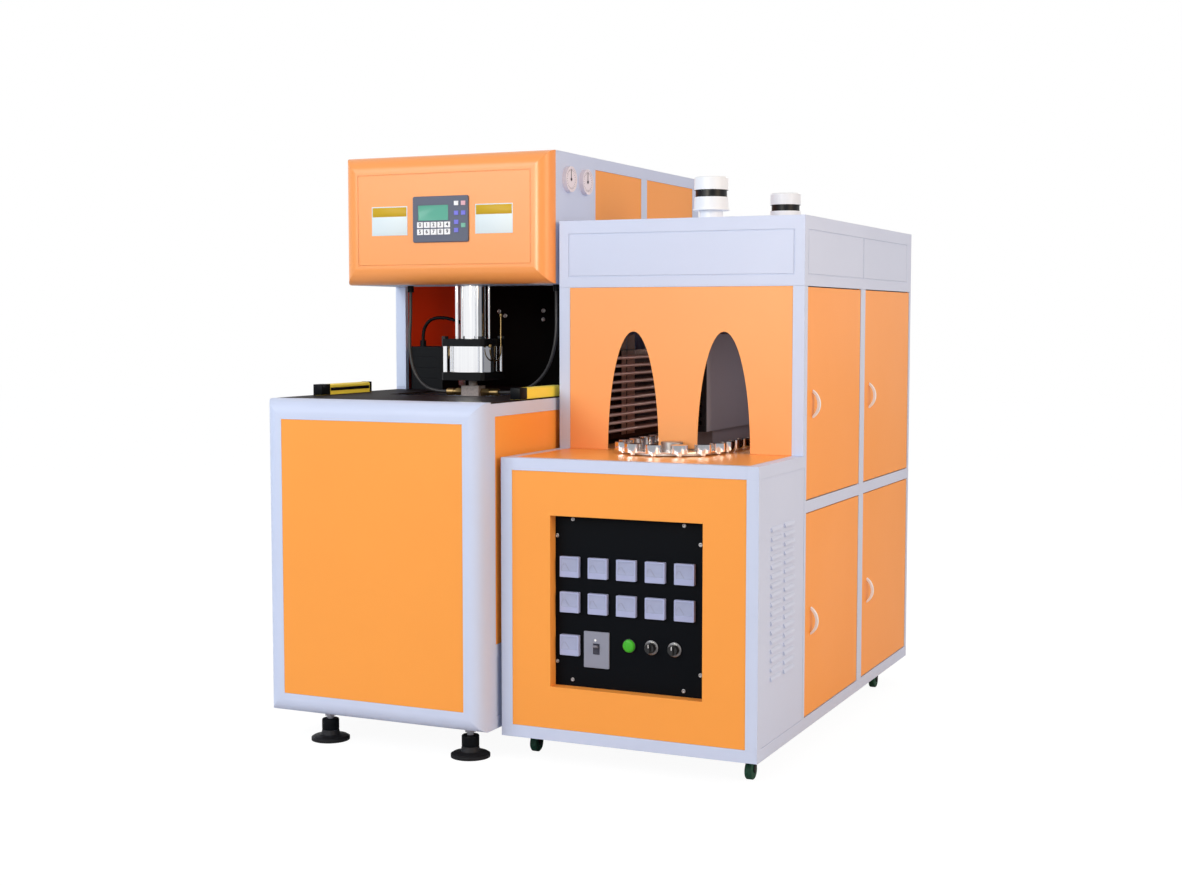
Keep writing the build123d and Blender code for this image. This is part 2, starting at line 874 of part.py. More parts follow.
with BuildPart() as nozzle_block:
    with BuildSketch(Plane(origin=(blow_middle, stack_y, 0), x_dir=(1, 0, 0), z_dir=(0, -1, 0))):
        with BuildLine():
            Polyline(
                (0, block_top - sheet),
                (nozzle_rod_radius, block_top - sheet),
                (nozzle_rod_radius, piston_top - nozzle_piston_thick),
                (piston_radius, piston_top - nozzle_piston_thick),
                (piston_radius, piston_top),
                (0, piston_top),
                close=True,
            )
        make_face()
    revolve(axis=Axis((blow_middle, stack_y, 0), (0, 0, 1)))
    with BuildSketch(Plane.XY.offset(block_bottom)):
        with Locations((blow_middle, stack_y)):
            RectangleRounded(block_width, block_depth, sheet)
    extrude(amount=block_top - block_bottom)
    chamfer(nozzle_block.faces().filter_by(Plane.XY).group_by(Axis.Z)[0].edges(), flush)
    with Locations((blow_middle, stack_y, block_bottom - tip_length / 2)):
        Cone(tip_radius * 0.7, tip_radius, tip_length)
    round_bar(
        blow_middle, stack_y, block_bottom - tip_length, piston_top, nozzle_bore_radius, Mode.SUBTRACT
    )
nozzle_block.part.label = "nozzle_block"
export_step(nozzle_block.part, "parts/nozzle_block.step")

stretch_piston_top = barrel_top - seat
stretch_piston_radius = barrel_radius - barrel_wall - seat

with BuildPart() as stretch_rod:
    round_bar(
        blow_middle, stack_y, block_bottom - tip_length + sheet, stretch_piston_top, stretch_rod_radius
    )
    round_bar(
        blow_middle,
        stack_y,
        stretch_piston_top - stretch_piston_thick,
        stretch_piston_top,
        stretch_piston_radius,
    )
    fillet(stretch_rod.edges().group_by(Axis.Z)[0], stretch_rod_radius * 0.8)
stretch_rod.part.label = "stretch_rod"
export_step(stretch_rod.part, "parts/stretch_rod.step")

with BuildPart() as hose_fittings:
    for side in (-1, 1):
        start = blow_middle + side * block_width / 2
        fitting_plane = Plane(origin=(start, stack_y, fitting_height), x_dir=(0, 1, 0), z_dir=(side, 0, 0))
        with BuildSketch(fitting_plane):
            RegularPolygon(fitting_radius, 6)
        extrude(amount=fitting_length * 0.45)
        with BuildSketch(fitting_plane.offset(fitting_length * 0.45)):
            Circle(fitting_radius * 0.72)
        extrude(amount=fitting_length * 0.15)
        with BuildSketch(fitting_plane.offset(fitting_length * 0.6)):
            Circle(fitting_radius * 0.9)
        extrude(amount=fitting_length * 0.4)
hose_fittings.part.label = "hose_fittings"
export_step(hose_fittings.part, "parts/hose_fittings.step")

# Hoses: distances from the blow unit's left side, from the front and from the floor
port_bottom = head_bottom - port_length
left_start = (blow_width - block_width) / 2 - fitting_length
left_hose_points = [
    (left_start, axis_set_back, fitting_height),
    (213, axis_set_back, fitting_height),
    (170, axis_set_back - 2, 1024),
    (142, axis_set_back - 5, 1066),
    (130, axis_set_back - 6, 1120),
    (128, axis_set_back - 4, 1180),
    (hose_left_in, axis_set_back, 1240),
    (hose_left_in, axis_set_back, port_bottom),
]
right_start = (blow_width + block_width) / 2 + fitting_length
right_hose_points = [
    (right_start, axis_set_back, fitting_height),
    (498, axis_set_back, fitting_height),
    (546, axis_set_back - 3, 1014),
    (588, axis_set_back - 6, 1040),
    (621, axis_set_back - 8, 1080),
    (640, axis_set_back - 8, 1133),
    (648, axis_set_back - 5, 1191),
    (hose_right_in, axis_set_back, 1251),
    (hose_right_in, axis_set_back, port_bottom),
]


def blow_points(points):
    """Points given from the blow unit's own left side and front."""
    return [(blow_left + x, front + y, z) for x, y, z in points]


nozzle_hose_left = route(blow_points(left_hose_points), hose_radius, "nozzle_hose_left")
nozzle_hose_left.part.label = "nozzle_hose_left"
export_step(nozzle_hose_left.part, "parts/nozzle_hose_left.step")

nozzle_hose_right = route(blow_points(right_hose_points), hose_radius, "nozzle_hose_right")
nozzle_hose_right.part.label = "nozzle_hose_right"
export_step(nozzle_hose_right.part, "parts/nozzle_hose_right.step")

valve_box_top = deck_height + valve_box_height
valve_hose_x = 75.0
valve_hose_y = 740.0
elbow_x = blow_width / 2 + 20
elbow_z = upper_flange_bottom + upper_flange_thick / 2
valve_port_top = valve_box_top + port_length
valve_hose_points = [
    (valve_hose_x, valve_hose_y, valve_port_top),
    (valve_hose_x, valve_hose_y, 1191),
    (90.5, valve_hose_y, 1218),
    (117, valve_hose_y, 1233),
    (155, valve_hose_y, 1234),
    (195, valve_hose_y + 1, 1226),
    (236, valve_hose_y + 2, 1210),
    (275, valve_hose_y + 2, 1189),
    (305, valve_hose_y + 1, 1171),
    (333, valve_hose_y, 1160),
    (359.5, 724.5, elbow_z),
    (elbow_x, 698, elbow_z),
    (elbow_x, axis_set_back + flange_side / 2 + port_length, elbow_z),
]
valve_hose = route(blow_points(valve_hose_points), valve_hose_radius, "valve_hose")
valve_hose.part.label = "valve_hose"
export_step(valve_hose.part, "parts/valve_hose.step")

with BuildPart() as valve_box:
    box_left = blow_left + valve_box_left
    box_front = front + valve_box_set_back
    block(
        (box_left, box_front, deck_height),
        (box_left + valve_box_width, box_front + valve_box_depth, valve_box_top),
    )
    fillet(valve_box.edges().filter_by(Axis.Z), 2 * sheet)
    chamfer(valve_box.faces().sort_by(Axis.Z)[-1].edges(), flush)
    with BuildSketch(front_plane(box_front)):
        with Locations((box_left + valve_box_width / 2, deck_height + valve_box_height / 2)):
            with GridLocations(0, valve_box_height / 4, 1, 3):
                Rectangle(valve_box_width * 0.7, sheet)
    extrude(amount=-sheet, mode=Mode.SUBTRACT)
valve_box.part.label = "valve_box"
export_step(valve_box.part, "parts/valve_box.step")

# Push-in ports that the hoses end in, and the air inlet at the rear
inlet_radius = 6.0
inlet_length = 24.0
inlet_z = deck_height - 2 * blow_tube
inlet_x = blow_left + blow_tube + 3 * fold

with BuildPart() as air_ports:
    for x in (hose_left_in, hose_right_in):
        round_bar(blow_left + x, stack_y, head_bottom - port_length, head_bottom, port_radius)
    round_bar(blow_left + valve_hose_x, front + valve_hose_y, valve_box_top, valve_port_top, port_radius)
    elbow_y = stack_y + flange_side / 2
    round_bar_y(blow_left + elbow_x, elbow_z, elbow_y, elbow_y + port_length, port_radius)
    round_bar_y(inlet_x, inlet_z, blow_rear - flush, blow_rear + port_length, 1.5 * port_radius)
    round_bar_y(inlet_x, inlet_z, blow_rear - flush, blow_rear + port_length, inlet_radius, Mode.SUBTRACT)
air_ports.part.label = "air_ports"
export_step(air_ports.part, "parts/air_ports.step")

with BuildPart() as light_curtains:
    for low_x in (blow_left + curtain_inset, blow_right - curtain_inset - curtain_width):
        block(
            (low_x, front + curtain_front, deck_height),
            (low_x + curtain_width, front + curtain_front + curtain_length, deck_height + curtain_height),
        )
    chamfer(light_curtains.edges().filter_by(Axis.Y).group_by(Axis.Z)[-1], 2 * sheet)
    for inner_x, inward in (
        (blow_left + curtain_inset + curtain_width, -1),
        (blow_right - curtain_inset - curtain_width, 1),
    ):
        low_x, high_x = sorted((inner_x, inner_x + inward * sheet))
        block(
            (low_x, front + curtain_front + fold, deck_height + curtain_height / 4),
            (high_x, front + curtain_front + curtain_length - fold, deck_height + curtain_height * 0.7),
            mode=Mode.SUBTRACT,
        )
light_curtains.part.label = "light_curtains"
export_step(light_curtains.part, "parts/light_curtains.step")

# Mould clamp: two fixed plates tied by four bars, and the platen that slides on them
clamp_span = (blow_middle - clamp_width / 2, blow_middle + clamp_width / 2)
fixed_face = stack_y - mould_depth / 2
platen_face = stack_y + mould_depth / 2 + clamp_travel
rear_plate_face = platen_face + platen_thick + rear_plate_gap
bar_points = [
    (x, z)
    for x in (clamp_span[0] + guide_bar_inset, clamp_span[1] - guide_bar_inset)
    for z in (clamp_bottom + guide_bar_inset, clamp_top - guide_bar_inset)
]
clamp_z = (clamp_bottom + clamp_top) / 2
cap_face = rear_plate_face + platen_thick
cylinder_end = cap_face + clamp_cylinder_length


def clamp_plate(near_face, bottom, mode=Mode.ADD):
    """A thick plate of the clamp with rounded corners, its near face towards the front."""
    with BuildSketch(front_plane(near_face + platen_thick), mode=Mode.PRIVATE) as outline:
        with Locations((blow_middle, (bottom + clamp_top) / 2)):
            RectangleRounded(clamp_width, clamp_top - bottom, fold)
    extrude(outline.sketch, amount=platen_thick, mode=mode)


def mould_bolt_holes(face, inward):
    """Blind holes for a mould's bolts in the face of a plate."""
    for x in (-1, 1):
        for z in (-1, 1):
            near, far = sorted((face, face + inward * mould_bolt_depth))
            round_bar_y(
                blow_middle + x * mould_bolt_span_x / 2,
                clamp_z + z * mould_bolt_span_z / 2,
                near,
                far,
                mould_bolt_radius,
                Mode.SUBTRACT,
            )


with BuildPart() as clamp_frame:
    clamp_plate(fixed_face - platen_thick, clamp_bottom)
    clamp_plate(rear_plate_face, clamp_bottom)
    for x, z in bar_points:
        for face in (fixed_face - platen_thick, rear_plate_face):
            round_bar_y(x, z, face, face + platen_thick, guide_bar_radius + running, Mode.SUBTRACT)
        bar_start = fixed_face - platen_thick - running
        bar_end = rear_plate_face + platen_thick + running
        round_bar_y(x, z, bar_start, bar_end, guide_bar_radius)
        for face, outward in ((bar_start, 1), (bar_end, -1)):
            with BuildSketch(front_plane(face)):
                with Locations((x, z)):
                    RegularPolygon(1.5 * guide_bar_radius, 6)
            extrude(amount=outward * fold)
    round_bar_y(
        blow_middle,
        clamp_z,
        rear_plate_face,
        rear_plate_face + platen_thick,
        clamp_rod_radius + running,
        Mode.SUBTRACT,
    )
    mould_bolt_holes(fixed_face, -1)
clamp_frame.part.label = "clamp_frame"
export_step(clamp_frame.part, "parts/clamp_frame.step")

clamp_piston = fold
rod_end = cap_face + clamp_cylinder_length - clamp_cap_thick - seat

with BuildPart() as moving_platen:
    clamp_plate(platen_face, clamp_bottom + seat)
    for x, z in bar_points:
        round_bar_y(
            x, z, platen_face, platen_face + platen_thick, guide_bar_radius + running, Mode.SUBTRACT
        )
    round_bar_y(blow_middle, clamp_z, platen_face + platen_thick, rod_end, clamp_rod_radius)
    round_bar_y(
        blow_middle, clamp_z, platen_face + platen_thick, platen_face + platen_thick + fold, 2 * clamp_rod_radius
    )
    round_bar_y(
        blow_middle,
        clamp_z,
        rod_end - clamp_piston,
        rod_end,
        clamp_cylinder_radius - clamp_cylinder_wall - seat,
    )
    mould_bolt_holes(platen_face, 1)
moving_platen.part.label = "moving_platen"
export_step(moving_platen.part, "parts/moving_platen.step")

with BuildPart() as clamp_cylinder:
    round_bar_y(blow_middle, clamp_z, cap_face, cylinder_end - clamp_cap_thick, clamp_cylinder_radius)
    with BuildSketch(front_plane(cylinder_end)):
        with Locations((blow_middle, clamp_z)):
            RectangleRounded(clamp_cap_side, clamp_cap_side, fold)
    extrude(amount=clamp_cap_thick)
    round_bar_y(
        blow_middle,
        clamp_z,
        cap_face,
        cylinder_end - clamp_cap_thick,
        clamp_cylinder_radius - clamp_cylinder_wall,
        Mode.SUBTRACT,
    )
    for x in (-1, 1):
        for z in (-1, 1):
            offset_from_axis = clamp_cap_side / 2 - fold
            round_bar_y(
                blow_middle + x * offset_from_axis,
                clamp_z + z * offset_from_axis,
                cap_face,
                cylinder_end - clamp_cap_thick,
                fold / 2,
            )
clamp_cylinder.part.label = "clamp_cylinder"
export_step(clamp_cylinder.part, "parts/clamp_cylinder.step")

with BuildPart() as levelling_feet:
    with BuildSketch(Plane.XZ) as foot_profile:
        with BuildLine():
            Polyline(
                (0, 0),
                (foot_pad_radius, 0),
                (foot_pad_radius, foot_pad_height * 0.7),
                (foot_pad_radius - foot_pad_height / 2, foot_pad_height),
                (foot_boss_radius, foot_pad_height + 2 * sheet),
                (foot_boss_radius * 0.9, foot_boss_height),
                (foot_stem_radius, foot_boss_height),
                (foot_stem_radius, plinth_height + blow_tube / 2),
                (0, plinth_height + blow_tube / 2),
                close=True,
            )
        make_face()
    revolve(axis=Axis.Z)
    with BuildSketch(Plane.XY.offset(plinth_height - foot_nut_height)):
        RegularPolygon(foot_nut_radius, 6)
    extrude(amount=foot_nut_height)
one_foot = levelling_feet.part

with BuildPart() as levelling_feet:
    with Locations(*((x, y, 0) for x, y in feet)):
        add(one_foot)
levelling_feet.part.label = "levelling_feet"
export_step(levelling_feet.part, "parts/levelling_feet.step")

# Heater frame
heater_sides = ((heater_left, heater_left + heater_tube), (heater_right - heater_tube, heater_right))
heater_inside = (heater_left + heater_tube, heater_right - heater_tube)
base_rail_top = heater_bottom + heater_tube
door_rail_top = door_rail_bottom + heater_tube
counter_rail_bottom = counter_height - heater_tube
vent_post_front = oven_front + oven_post - vent_post
door_post_front = heater_front + door_post_at
rear_post_front = heater_rear - heater_rear_post
floor_underside = counter_height - counter_sheet
floor_tubes = (oven_front, door_post_front, rear_post_front - heater_tube)
castor_points = [
    (x, heater_front + set_back)
    for set_back in (front_castor_set_back, rear_castor_set_back)
    for x in (heater_left + castor_inset, heater_right - castor_inset)
]

# Doors on the outer side: (near edge, far edge, bottom, top, handle's lower end)
door_spans = {
    "oven_door_front": (
        oven_front + oven_post + door_gap,
        door_post_front - door_gap,
        door_rail_top + door_gap,
        hood_bottom - door_gap,
        oven_handle_bottom,
    ),
    "oven_door_rear": (
        door_post_front + door_post + door_gap,
        rear_post_front - door_gap,
        door_rail_top + door_gap,
        hood_bottom - door_gap,
        oven_handle_bottom,
    ),
    "base_door_front": (
        oven_front + oven_post + door_gap,
        door_post_front - door_gap,
        base_rail_top + door_gap,
        door_rail_bottom - door_gap,
        base_handle_bottom,
    ),
    "base_door_rear": (
        door_post_front + door_post + door_gap,
        rear_post_front - door_gap,
        base_rail_top + door_gap,
        door_rail_bottom - door_gap,
        base_handle_bottom,
    ),
}
door_face = heater_right - flush
pivot_x = door_face - pivot_inset
pivots = [
    (pivot_x, far - pivot_inset, (bottom - door_gap, top + door_gap))
    for _, far, bottom, top, _ in door_spans.values()
]

with BuildPart() as heater_frame:
    for x_span in heater_sides:
        tube(
            (x_span[0], heater_front, heater_bottom), (x_span[1], heater_rear, base_rail_top), capped=True
        )
        tube(
            (x_span[0], heater_front, counter_rail_bottom),
            (x_span[1], vent_post_front - weld_gap, counter_height),
            capped=True,
        )
        post(x_span, (heater_front, heater_front + heater_front_post), (base_rail_top, counter_rail_bottom))
        post(x_span, (vent_post_front, oven_front + oven_post), (base_rail_top, counter_height))
        post(x_span, (oven_front, oven_front + oven_post), (counter_height, hood_bottom))
        post(x_span, (door_post_front, door_post_front + door_post), (base_rail_top, hood_bottom))
        post(x_span, (rear_post_front, heater_rear), (base_rail_top, hood_bottom))
        for near, far in (
            (oven_front + oven_post, door_post_front),
            (door_post_front + door_post, rear_post_front),
        ):
            tube(
                (x_span[0], near + weld_gap, door_rail_bottom),
                (x_span[1], far - weld_gap, door_rail_top),
            )
    for y in (heater_front, heater_rear - heater_tube):
        cross_tube(heater_inside, y, heater_bottom, heater_tube, heater_tube)
    cross_tube(heater_inside, heater_front, counter_rail_bottom, heater_front_post, heater_tube)
    for y in floor_tubes:
        cross_tube(heater_inside, y, floor_underside - heater_tube, heater_tube, heater_tube)
    cross_tube(heater_inside, rear_post_front, door_rail_bottom, heater_rear_post, heater_tube)
    for x, y in castor_points:
        round_bar(
            x, y, heater_bottom, heater_bottom + tube_wall, castor_stem_radius + running, Mode.SUBTRACT
        )
    for x, y, ends in pivots:
        for z in ends:
            round_bar(x, y, z - pivot_length, z + pivot_length, pivot_radius + running, Mode.SUBTRACT)
heater_frame.part.label = "heater_frame"
export_step(heater_frame.part, "parts/heater_frame.step")

# The front panel's opening is folded back as far as the control plate
opening_left = heater_left + recess_left
opening_right = opening_left + recess_width
opening_top = recess_bottom + recess_height
front_face = heater_front + flush
plate_face = heater_front + recess_depth

with BuildPart() as heater_front_panel:
    tray(
        (heater_inside[0] + seat, front_face, base_rail_top + seat),
        (heater_inside[1] - seat, front_face + fold, counter_rail_bottom - seat),
        1,
        -1,
    )
    block(
        (opening_left - sheet, front_face, recess_bottom - sheet),
        (opening_right + sheet, plate_face, opening_top + sheet),
    )
    block(
        (opening_left, front_face, recess_bottom),
        (opening_right, plate_face, opening_top),
        mode=Mode.SUBTRACT,
    )
heater_front_panel.part.label = "heater_front_panel"
export_step(heater_front_panel.part, "parts/heater_front_panel.step")

meter_xs = [heater_left + meter_first_x + meter_pitch_x * column for column in range(5)]
meter_points = [(x, z) for z in meter_rows_z[:2] for x in meter_xs] + [(meter_xs[0], meter_rows_z[2])]
knob_points = [(heater_left + x, knob_z) for x in knob_xs]
lamp_point = (heater_left + lamp_x, knob_z)
breaker_point = (heater_left + breaker_x, breaker_z)
plate_back = plate_face + plate_thick

with BuildPart() as control_plate:
    block(
        (opening_left - plate_margin, plate_face, recess_bottom - plate_margin),
        (opening_right + plate_margin, plate_back, opening_top + plate_margin),
    )
    for x, z in meter_points:
        round_bar_y(x, z, plate_face, plate_back, meter_shank_radius + running, Mode.SUBTRACT)
    for x, z in knob_points:
        with BuildSketch(front_plane(plate_back + switch_depth)):
            with Locations((x, z)):
                Rectangle(switch_side, switch_side)
        extrude(amount=switch_depth)
        round_bar_y(x, z, plate_face, plate_back + switch_depth / 2, knob_shaft_radius + running, Mode.SUBTRACT)
    round_bar_y(*lamp_point, plate_face, plate_back, bezel_radius / 2 + running, Mode.SUBTRACT)
    with BuildSketch(front_plane(plate_back)):
        with Locations(breaker_point):
            Rectangle(breaker_body_width + seat, breaker_body_height + seat)
    extrude(amount=plate_thick, mode=Mode.SUBTRACT)
control_plate.part.label = "control_plate"
export_step(control_plate.part, "parts/control_plate.step")

breaker_front = plate_face - breaker_proud
toggle_y = breaker_front + toggle_barrel_radius

with BuildPart() as panel_meters:
    for x, z in meter_points:
        with BuildSketch(front_plane(plate_face)):
            with Locations((x, z)):
                RectangleRounded(meter_side, meter_side, sheet)
        extrude(amount=meter_proud)
        with BuildSketch(front_plane(plate_face - meter_proud)):
            with Locations((x, z + meter_side * 0.1)):
                Rectangle(meter_side * 0.84, meter_side * 0.64)
        extrude(amount=-flush, mode=Mode.SUBTRACT)
        round_bar_y(x, z, plate_face, plate_face + meter_shank_length, meter_shank_radius)
    with BuildSketch(front_plane(plate_face)):
        with Locations(breaker_point):
            RectangleRounded(breaker_plate_width, breaker_plate_height, sheet)
    extrude(amount=breaker_proud)
    with BuildSketch(front_plane(plate_face + breaker_body_depth)):
        with Locations(breaker_point):
            Rectangle(breaker_body_width, breaker_body_height)
    extrude(amount=breaker_body_depth)
    with BuildSketch(front_plane(breaker_front)):
        with Locations(breaker_point):
            Rectangle(toggle_width + 2 * seat, toggle_slot_height)
    extrude(amount=-2 * toggle_barrel_radius - 2 * seat, mode=Mode.SUBTRACT)
panel_meters.part.label = "panel_meters"
export_step(panel_meters.part, "parts/panel_meters.step")

with BuildPart() as breaker_toggle:
    with Locations(Location((breaker_point[0], toggle_y, breaker_point[1]), (0, 90, 0))):
        Cylinder(toggle_barrel_radius, toggle_width)
    with BuildSketch(Plane.YZ.offset(breaker_point[0] - toggle_width / 2)):
        with BuildLine():
            Polyline(
                (toggle_y, breaker_point[1] + toggle_barrel_radius * 0.2),
                (breaker_front - toggle_length * 0.8, breaker_point[1] + toggle_length * 0.6),
                (breaker_front - toggle_length * 0.6, breaker_point[1] + toggle_length * 0.9),
                (toggle_y, breaker_point[1] + toggle_barrel_radius * 0.95),
                close=True,
            )
        make_face()
    extrude(amount=toggle_width)
breaker_toggle.part.label = "breaker_toggle"
export_step(breaker_toggle.part, "parts/breaker_toggle.step")


def turned_front(point, profile):
    """A turned piece on an axis that faces the front; profile points are (radius, forward)."""
    turning_plane = Plane(origin=(point[0], plate_face, point[1]), x_dir=(1, 0, 0), z_dir=(0, 0, 1))
    with BuildPart() as turned:
        with BuildSketch(turning_plane) as half:
            with BuildLine():
                Polyline(*((radius, -forward) for radius, forward in profile), close=True)
            make_face()
        revolve(half.sketch, axis=Axis((point[0], plate_face, point[1]), (0, 1, 0)))
    return turned.part


with BuildPart() as pilot_lamp:
    add(
        turned_front(
            lamp_point,
            [
                (0, -switch_depth / 2),
                (bezel_radius / 2, -switch_depth / 2),
                (bezel_radius / 2, 0),
                (bezel_radius, 0),
                (bezel_radius, 2 * sheet),
                (bezel_radius * 0.85, 3 * sheet),
                (bezel_radius * 0.8, 5 * sheet),
                (bezel_radius * 0.6, 6.2 * sheet),
                (0, 6.8 * sheet),
            ],
        )
    )
pilot_lamp.part.label = "pilot_lamp"
export_step(pilot_lamp.part, "parts/pilot_lamp.step")

for name, point in zip(("knob_left", "knob_right"), knob_points):
    with BuildPart() as knob:
        add(
            turned_front(
                point,
                [
                    (0, -plate_thick - switch_depth / 2 + flush),
                    (knob_shaft_radius, -plate_thick - switch_depth / 2 + flush),
                    (knob_shaft_radius, seat),
                    (bezel_radius, seat),
                    (bezel_radius, sheet),
                    (bezel_radius * 0.85, 2 * sheet),
                    (knob_radius, 2 * sheet),
                    (knob_radius * 0.9, knob_depth),
                    (0, knob_depth),
                ],
            )
        )
        with BuildSketch(front_plane(plate_face - knob_depth)):
            with Locations(point):
                RectangleRounded(knob_radius / 2, 1.7 * knob_radius, sheet)
        extrude(amount=knob_depth / 3)
    knob.part.label = name
    export_step(knob.part, f"parts/{name}.step")

# The chain's two wheels turn about upright shafts; the front one stands half out on the counter
wheel_radius = arch_offset
chain_pitch = 2 * wheel_radius * sin(pi / chain_teeth)
front_wheel_y = heater_front + chain_front
rear_wheel_y = front_wheel_y + chain_straight_links * chain_pitch
wheel_top = wheel_bottom + wheel_thick

with BuildPart() as counter_top:
    block(
        (heater_inside[0] + seat, heater_front + heater_front_post + seat, floor_underside),
        (heater_inside[1] - seat, rear_post_front - seat, counter_height),
    )
    round_bar(heater_middle, front_wheel_y, floor_underside - shaft_boss_length, floor_underside, shaft_boss_radius)
    for y in (front_wheel_y, rear_wheel_y):
        round_bar(
            heater_middle,
            y,
            floor_underside - shaft_boss_length,
            counter_height,
            wheel_shaft_radius + running,
            Mode.SUBTRACT,
        )
counter_top.part.label = "counter_top"
export_step(counter_top.part, "parts/counter_top.step")

wall_bottom = counter_height + seat

with BuildPart() as oven_wall:
    tray(
        (heater_inside[0] + seat, oven_front + flush, wall_bottom),
        (heater_inside[1] - seat, oven_front + flush + fold, hood_bottom - seat),
        1,
        -1,
    )
    with BuildSketch(front_plane(oven_front + fold + 2 * flush)):
        for side in (-1, 1):
            with Locations((heater_middle + side * arch_offset, wall_bottom)):
                Ellipse(arch_half_width, arch_height)
        with Locations((heater_middle, wall_bottom)):
            Rectangle(2 * arch_offset, 2 * (wheel_top + sheet - wall_bottom))
    extrude(amount=fold + 2 * flush, mode=Mode.SUBTRACT)
oven_wall.part.label = "oven_wall"
export_step(oven_wall.part, "parts/oven_wall.step")

stack_points = [(heater_middle, heater_front + set_back) for set_back in stack_set_backs]
header_inset = 30.0
header_top = 1478.0
header_bottom = 1352.0


def header_groove(sketch_plane, across, along):
    """A fine inset line round a face of the hood."""
    with BuildSketch(sketch_plane) as line:
        with Locations((across, (header_top + header_bottom) / 2)):
            Rectangle(along, header_top - header_bottom)
            Rectangle(
                along - 2 * groove_width,
                header_top - header_bottom - 2 * groove_width,
                mode=Mode.SUBTRACT,
            )
    extrude(line.sketch, amount=-groove_depth, mode=Mode.SUBTRACT)


with BuildPart() as oven_hood:
    tray((heater_left, oven_front, hood_bottom), (heater_right, heater_rear, heater_top), 2, 1, cover_sheet)
    header_groove(front_plane(oven_front), heater_middle, heater_width - 2 * header_inset)
    panel_ends = (oven_front + header_inset, door_post_front + door_post / 2, heater_rear - 2 * header_inset)
    for near, far in zip(panel_ends, panel_ends[1:]):
        across = (near + far) / 2
        along = far - near - groove_width
        header_groove(Plane.YZ.offset(heater_right), across, along)
        left_plane = Plane(origin=(heater_left, 0, 0), x_dir=(0, -1, 0), z_dir=(-1, 0, 0))
        header_groove(left_plane, -across, along)
    for x, y in stack_points:
        round_bar(x, y, heater_top - cover_sheet, heater_top, stack_neck_radius + running, Mode.SUBTRACT)
oven_hood.part.label = "oven_hood"
export_step(oven_hood.part, "parts/oven_hood.step")

vent_face = heater_right - flush
vent_places = [
    (vent_face, heater_front + across, louvre_lowest + row * louvre_pitch)
    for across in louvre_columns
    for row in range(louvre_rows)
]

with BuildPart() as side_vent_panel:
    side_tray(
        vent_face,
        1,
        (heater_front + heater_front_post + panel_gap, vent_post_front - panel_gap),
        (base_rail_top + panel_gap, counter_rail_bottom - panel_gap),
    )
    louvres(vent_places, -90)
side_vent_panel.part.label = "side_vent_panel"
export_step(side_vent_panel.part, "parts/side_vent_panel.step")

base_z = (base_rail_top + panel_gap, door_rail_bottom - panel_gap)
oven_z = (door_rail_top + panel_gap, hood_bottom - panel_gap)
heater_back_span = (heater_inside[0] + panel_gap, heater_inside[1] - panel_gap)

with BuildPart() as heater_fixed_panels:
    side_tray(
        heater_left + flush,
        -1,
        (heater_front + heater_front_post + panel_gap, vent_post_front - panel_gap),
        (base_rail_top + panel_gap, counter_rail_bottom - panel_gap),
    )
    for z_span in (base_z, oven_z):
        for near, far in (
            (oven_front + oven_post, door_post_front),
            (door_post_front + door_post, rear_post_front),
        ):
            side_tray(heater_left + flush, -1, (near + panel_gap, far - panel_gap), z_span)
        tray(
            (heater_back_span[0], heater_rear - flush - fold, z_span[0]),
            (heater_back_span[1], heater_rear - flush, z_span[1]),
            1,
            1,
        )
    louvres(
        [
            (heater_middle + side * louvre_width, heater_rear - flush, recess_bottom + row * louvre_pitch)
            for side in (-1, 1)
            for row in range(6)
        ],
        0,
    )
heater_fixed_panels.part.label = "heater_fixed_panels"
export_step(heater_fixed_panels.part, "parts/heater_fixed_panels.step")

for name, (near, far, bottom, top, handle_bottom) in door_spans.items():
    with BuildPart() as door:
        side_tray(door_face, 1, (near, far), (bottom, top))
        pivot_y = far - pivot_inset
        for end, outward in ((bottom, -1), (top, 1)):
            low_z, high_z = sorted((end, end - outward * fold))
            block((door_face - fold, far - fold, low_z), (door_face - sheet, far, high_z))
            low_z, high_z = sorted((end, end + outward * (door_gap + pivot_length - flush)))
            round_bar(pivot_x, pivot_y, low_z, high_z, pivot_radius)
        with BuildSketch(Plane.XZ.offset(-near - handle_inset)):
            with BuildLine():
                ThreePointArc(
                    (door_face, handle_bottom),
                    (door_face + handle_reach + flush, handle_bottom + handle_height / 2),
                    (door_face, handle_bottom + handle_height),
                )
                Line(
                    (door_face, handle_bottom + handle_height),
                    (door_face, handle_bottom + handle_height - handle_thick),
                )
                ThreePointArc(
                    (door_face, handle_bottom + handle_height - handle_thick),
                    (door_face + handle_reach + flush - handle_thick, handle_bottom + handle_height / 2),
                    (door_face, handle_bottom + handle_thick),
                )
                Line((door_face, handle_bottom + handle_thick), (door_face, handle_bottom))
            make_face()
        extrude(amount=handle_width / 2, both=True)
    door.part.label = name
    export_step(door.part, f"parts/{name}.step")

# Infrared lamps in two banks that face the centre duct
lamp_start = heater_front + lamp_front
lamp_end = lamp_start + lamp_length
lamp_zs = [lamp_lowest + lamp_pitch * row for row in range(lamp_count)]
lamp_middle_z = (lamp_zs[0] + lamp_zs[-1]) / 2
reflector_top = lamp_zs[-1] + lamp_pitch
bank_sides = ((heater_left, 1), (heater_right, -1))

with BuildPart() as lamp_tubes:
    for face, inward in bank_sides:
        with Locations(
            *(
                Location((face + inward * lamp_inset, (lamp_start + lamp_end) / 2, z), (90, 0, 0))
                for z in lamp_zs
            )
        ):
            Cylinder(lamp_radius, lamp_length)
lamp_tubes.part.label = "lamp_tubes"
export_step(lamp_tubes.part, "parts/lamp_tubes.step")

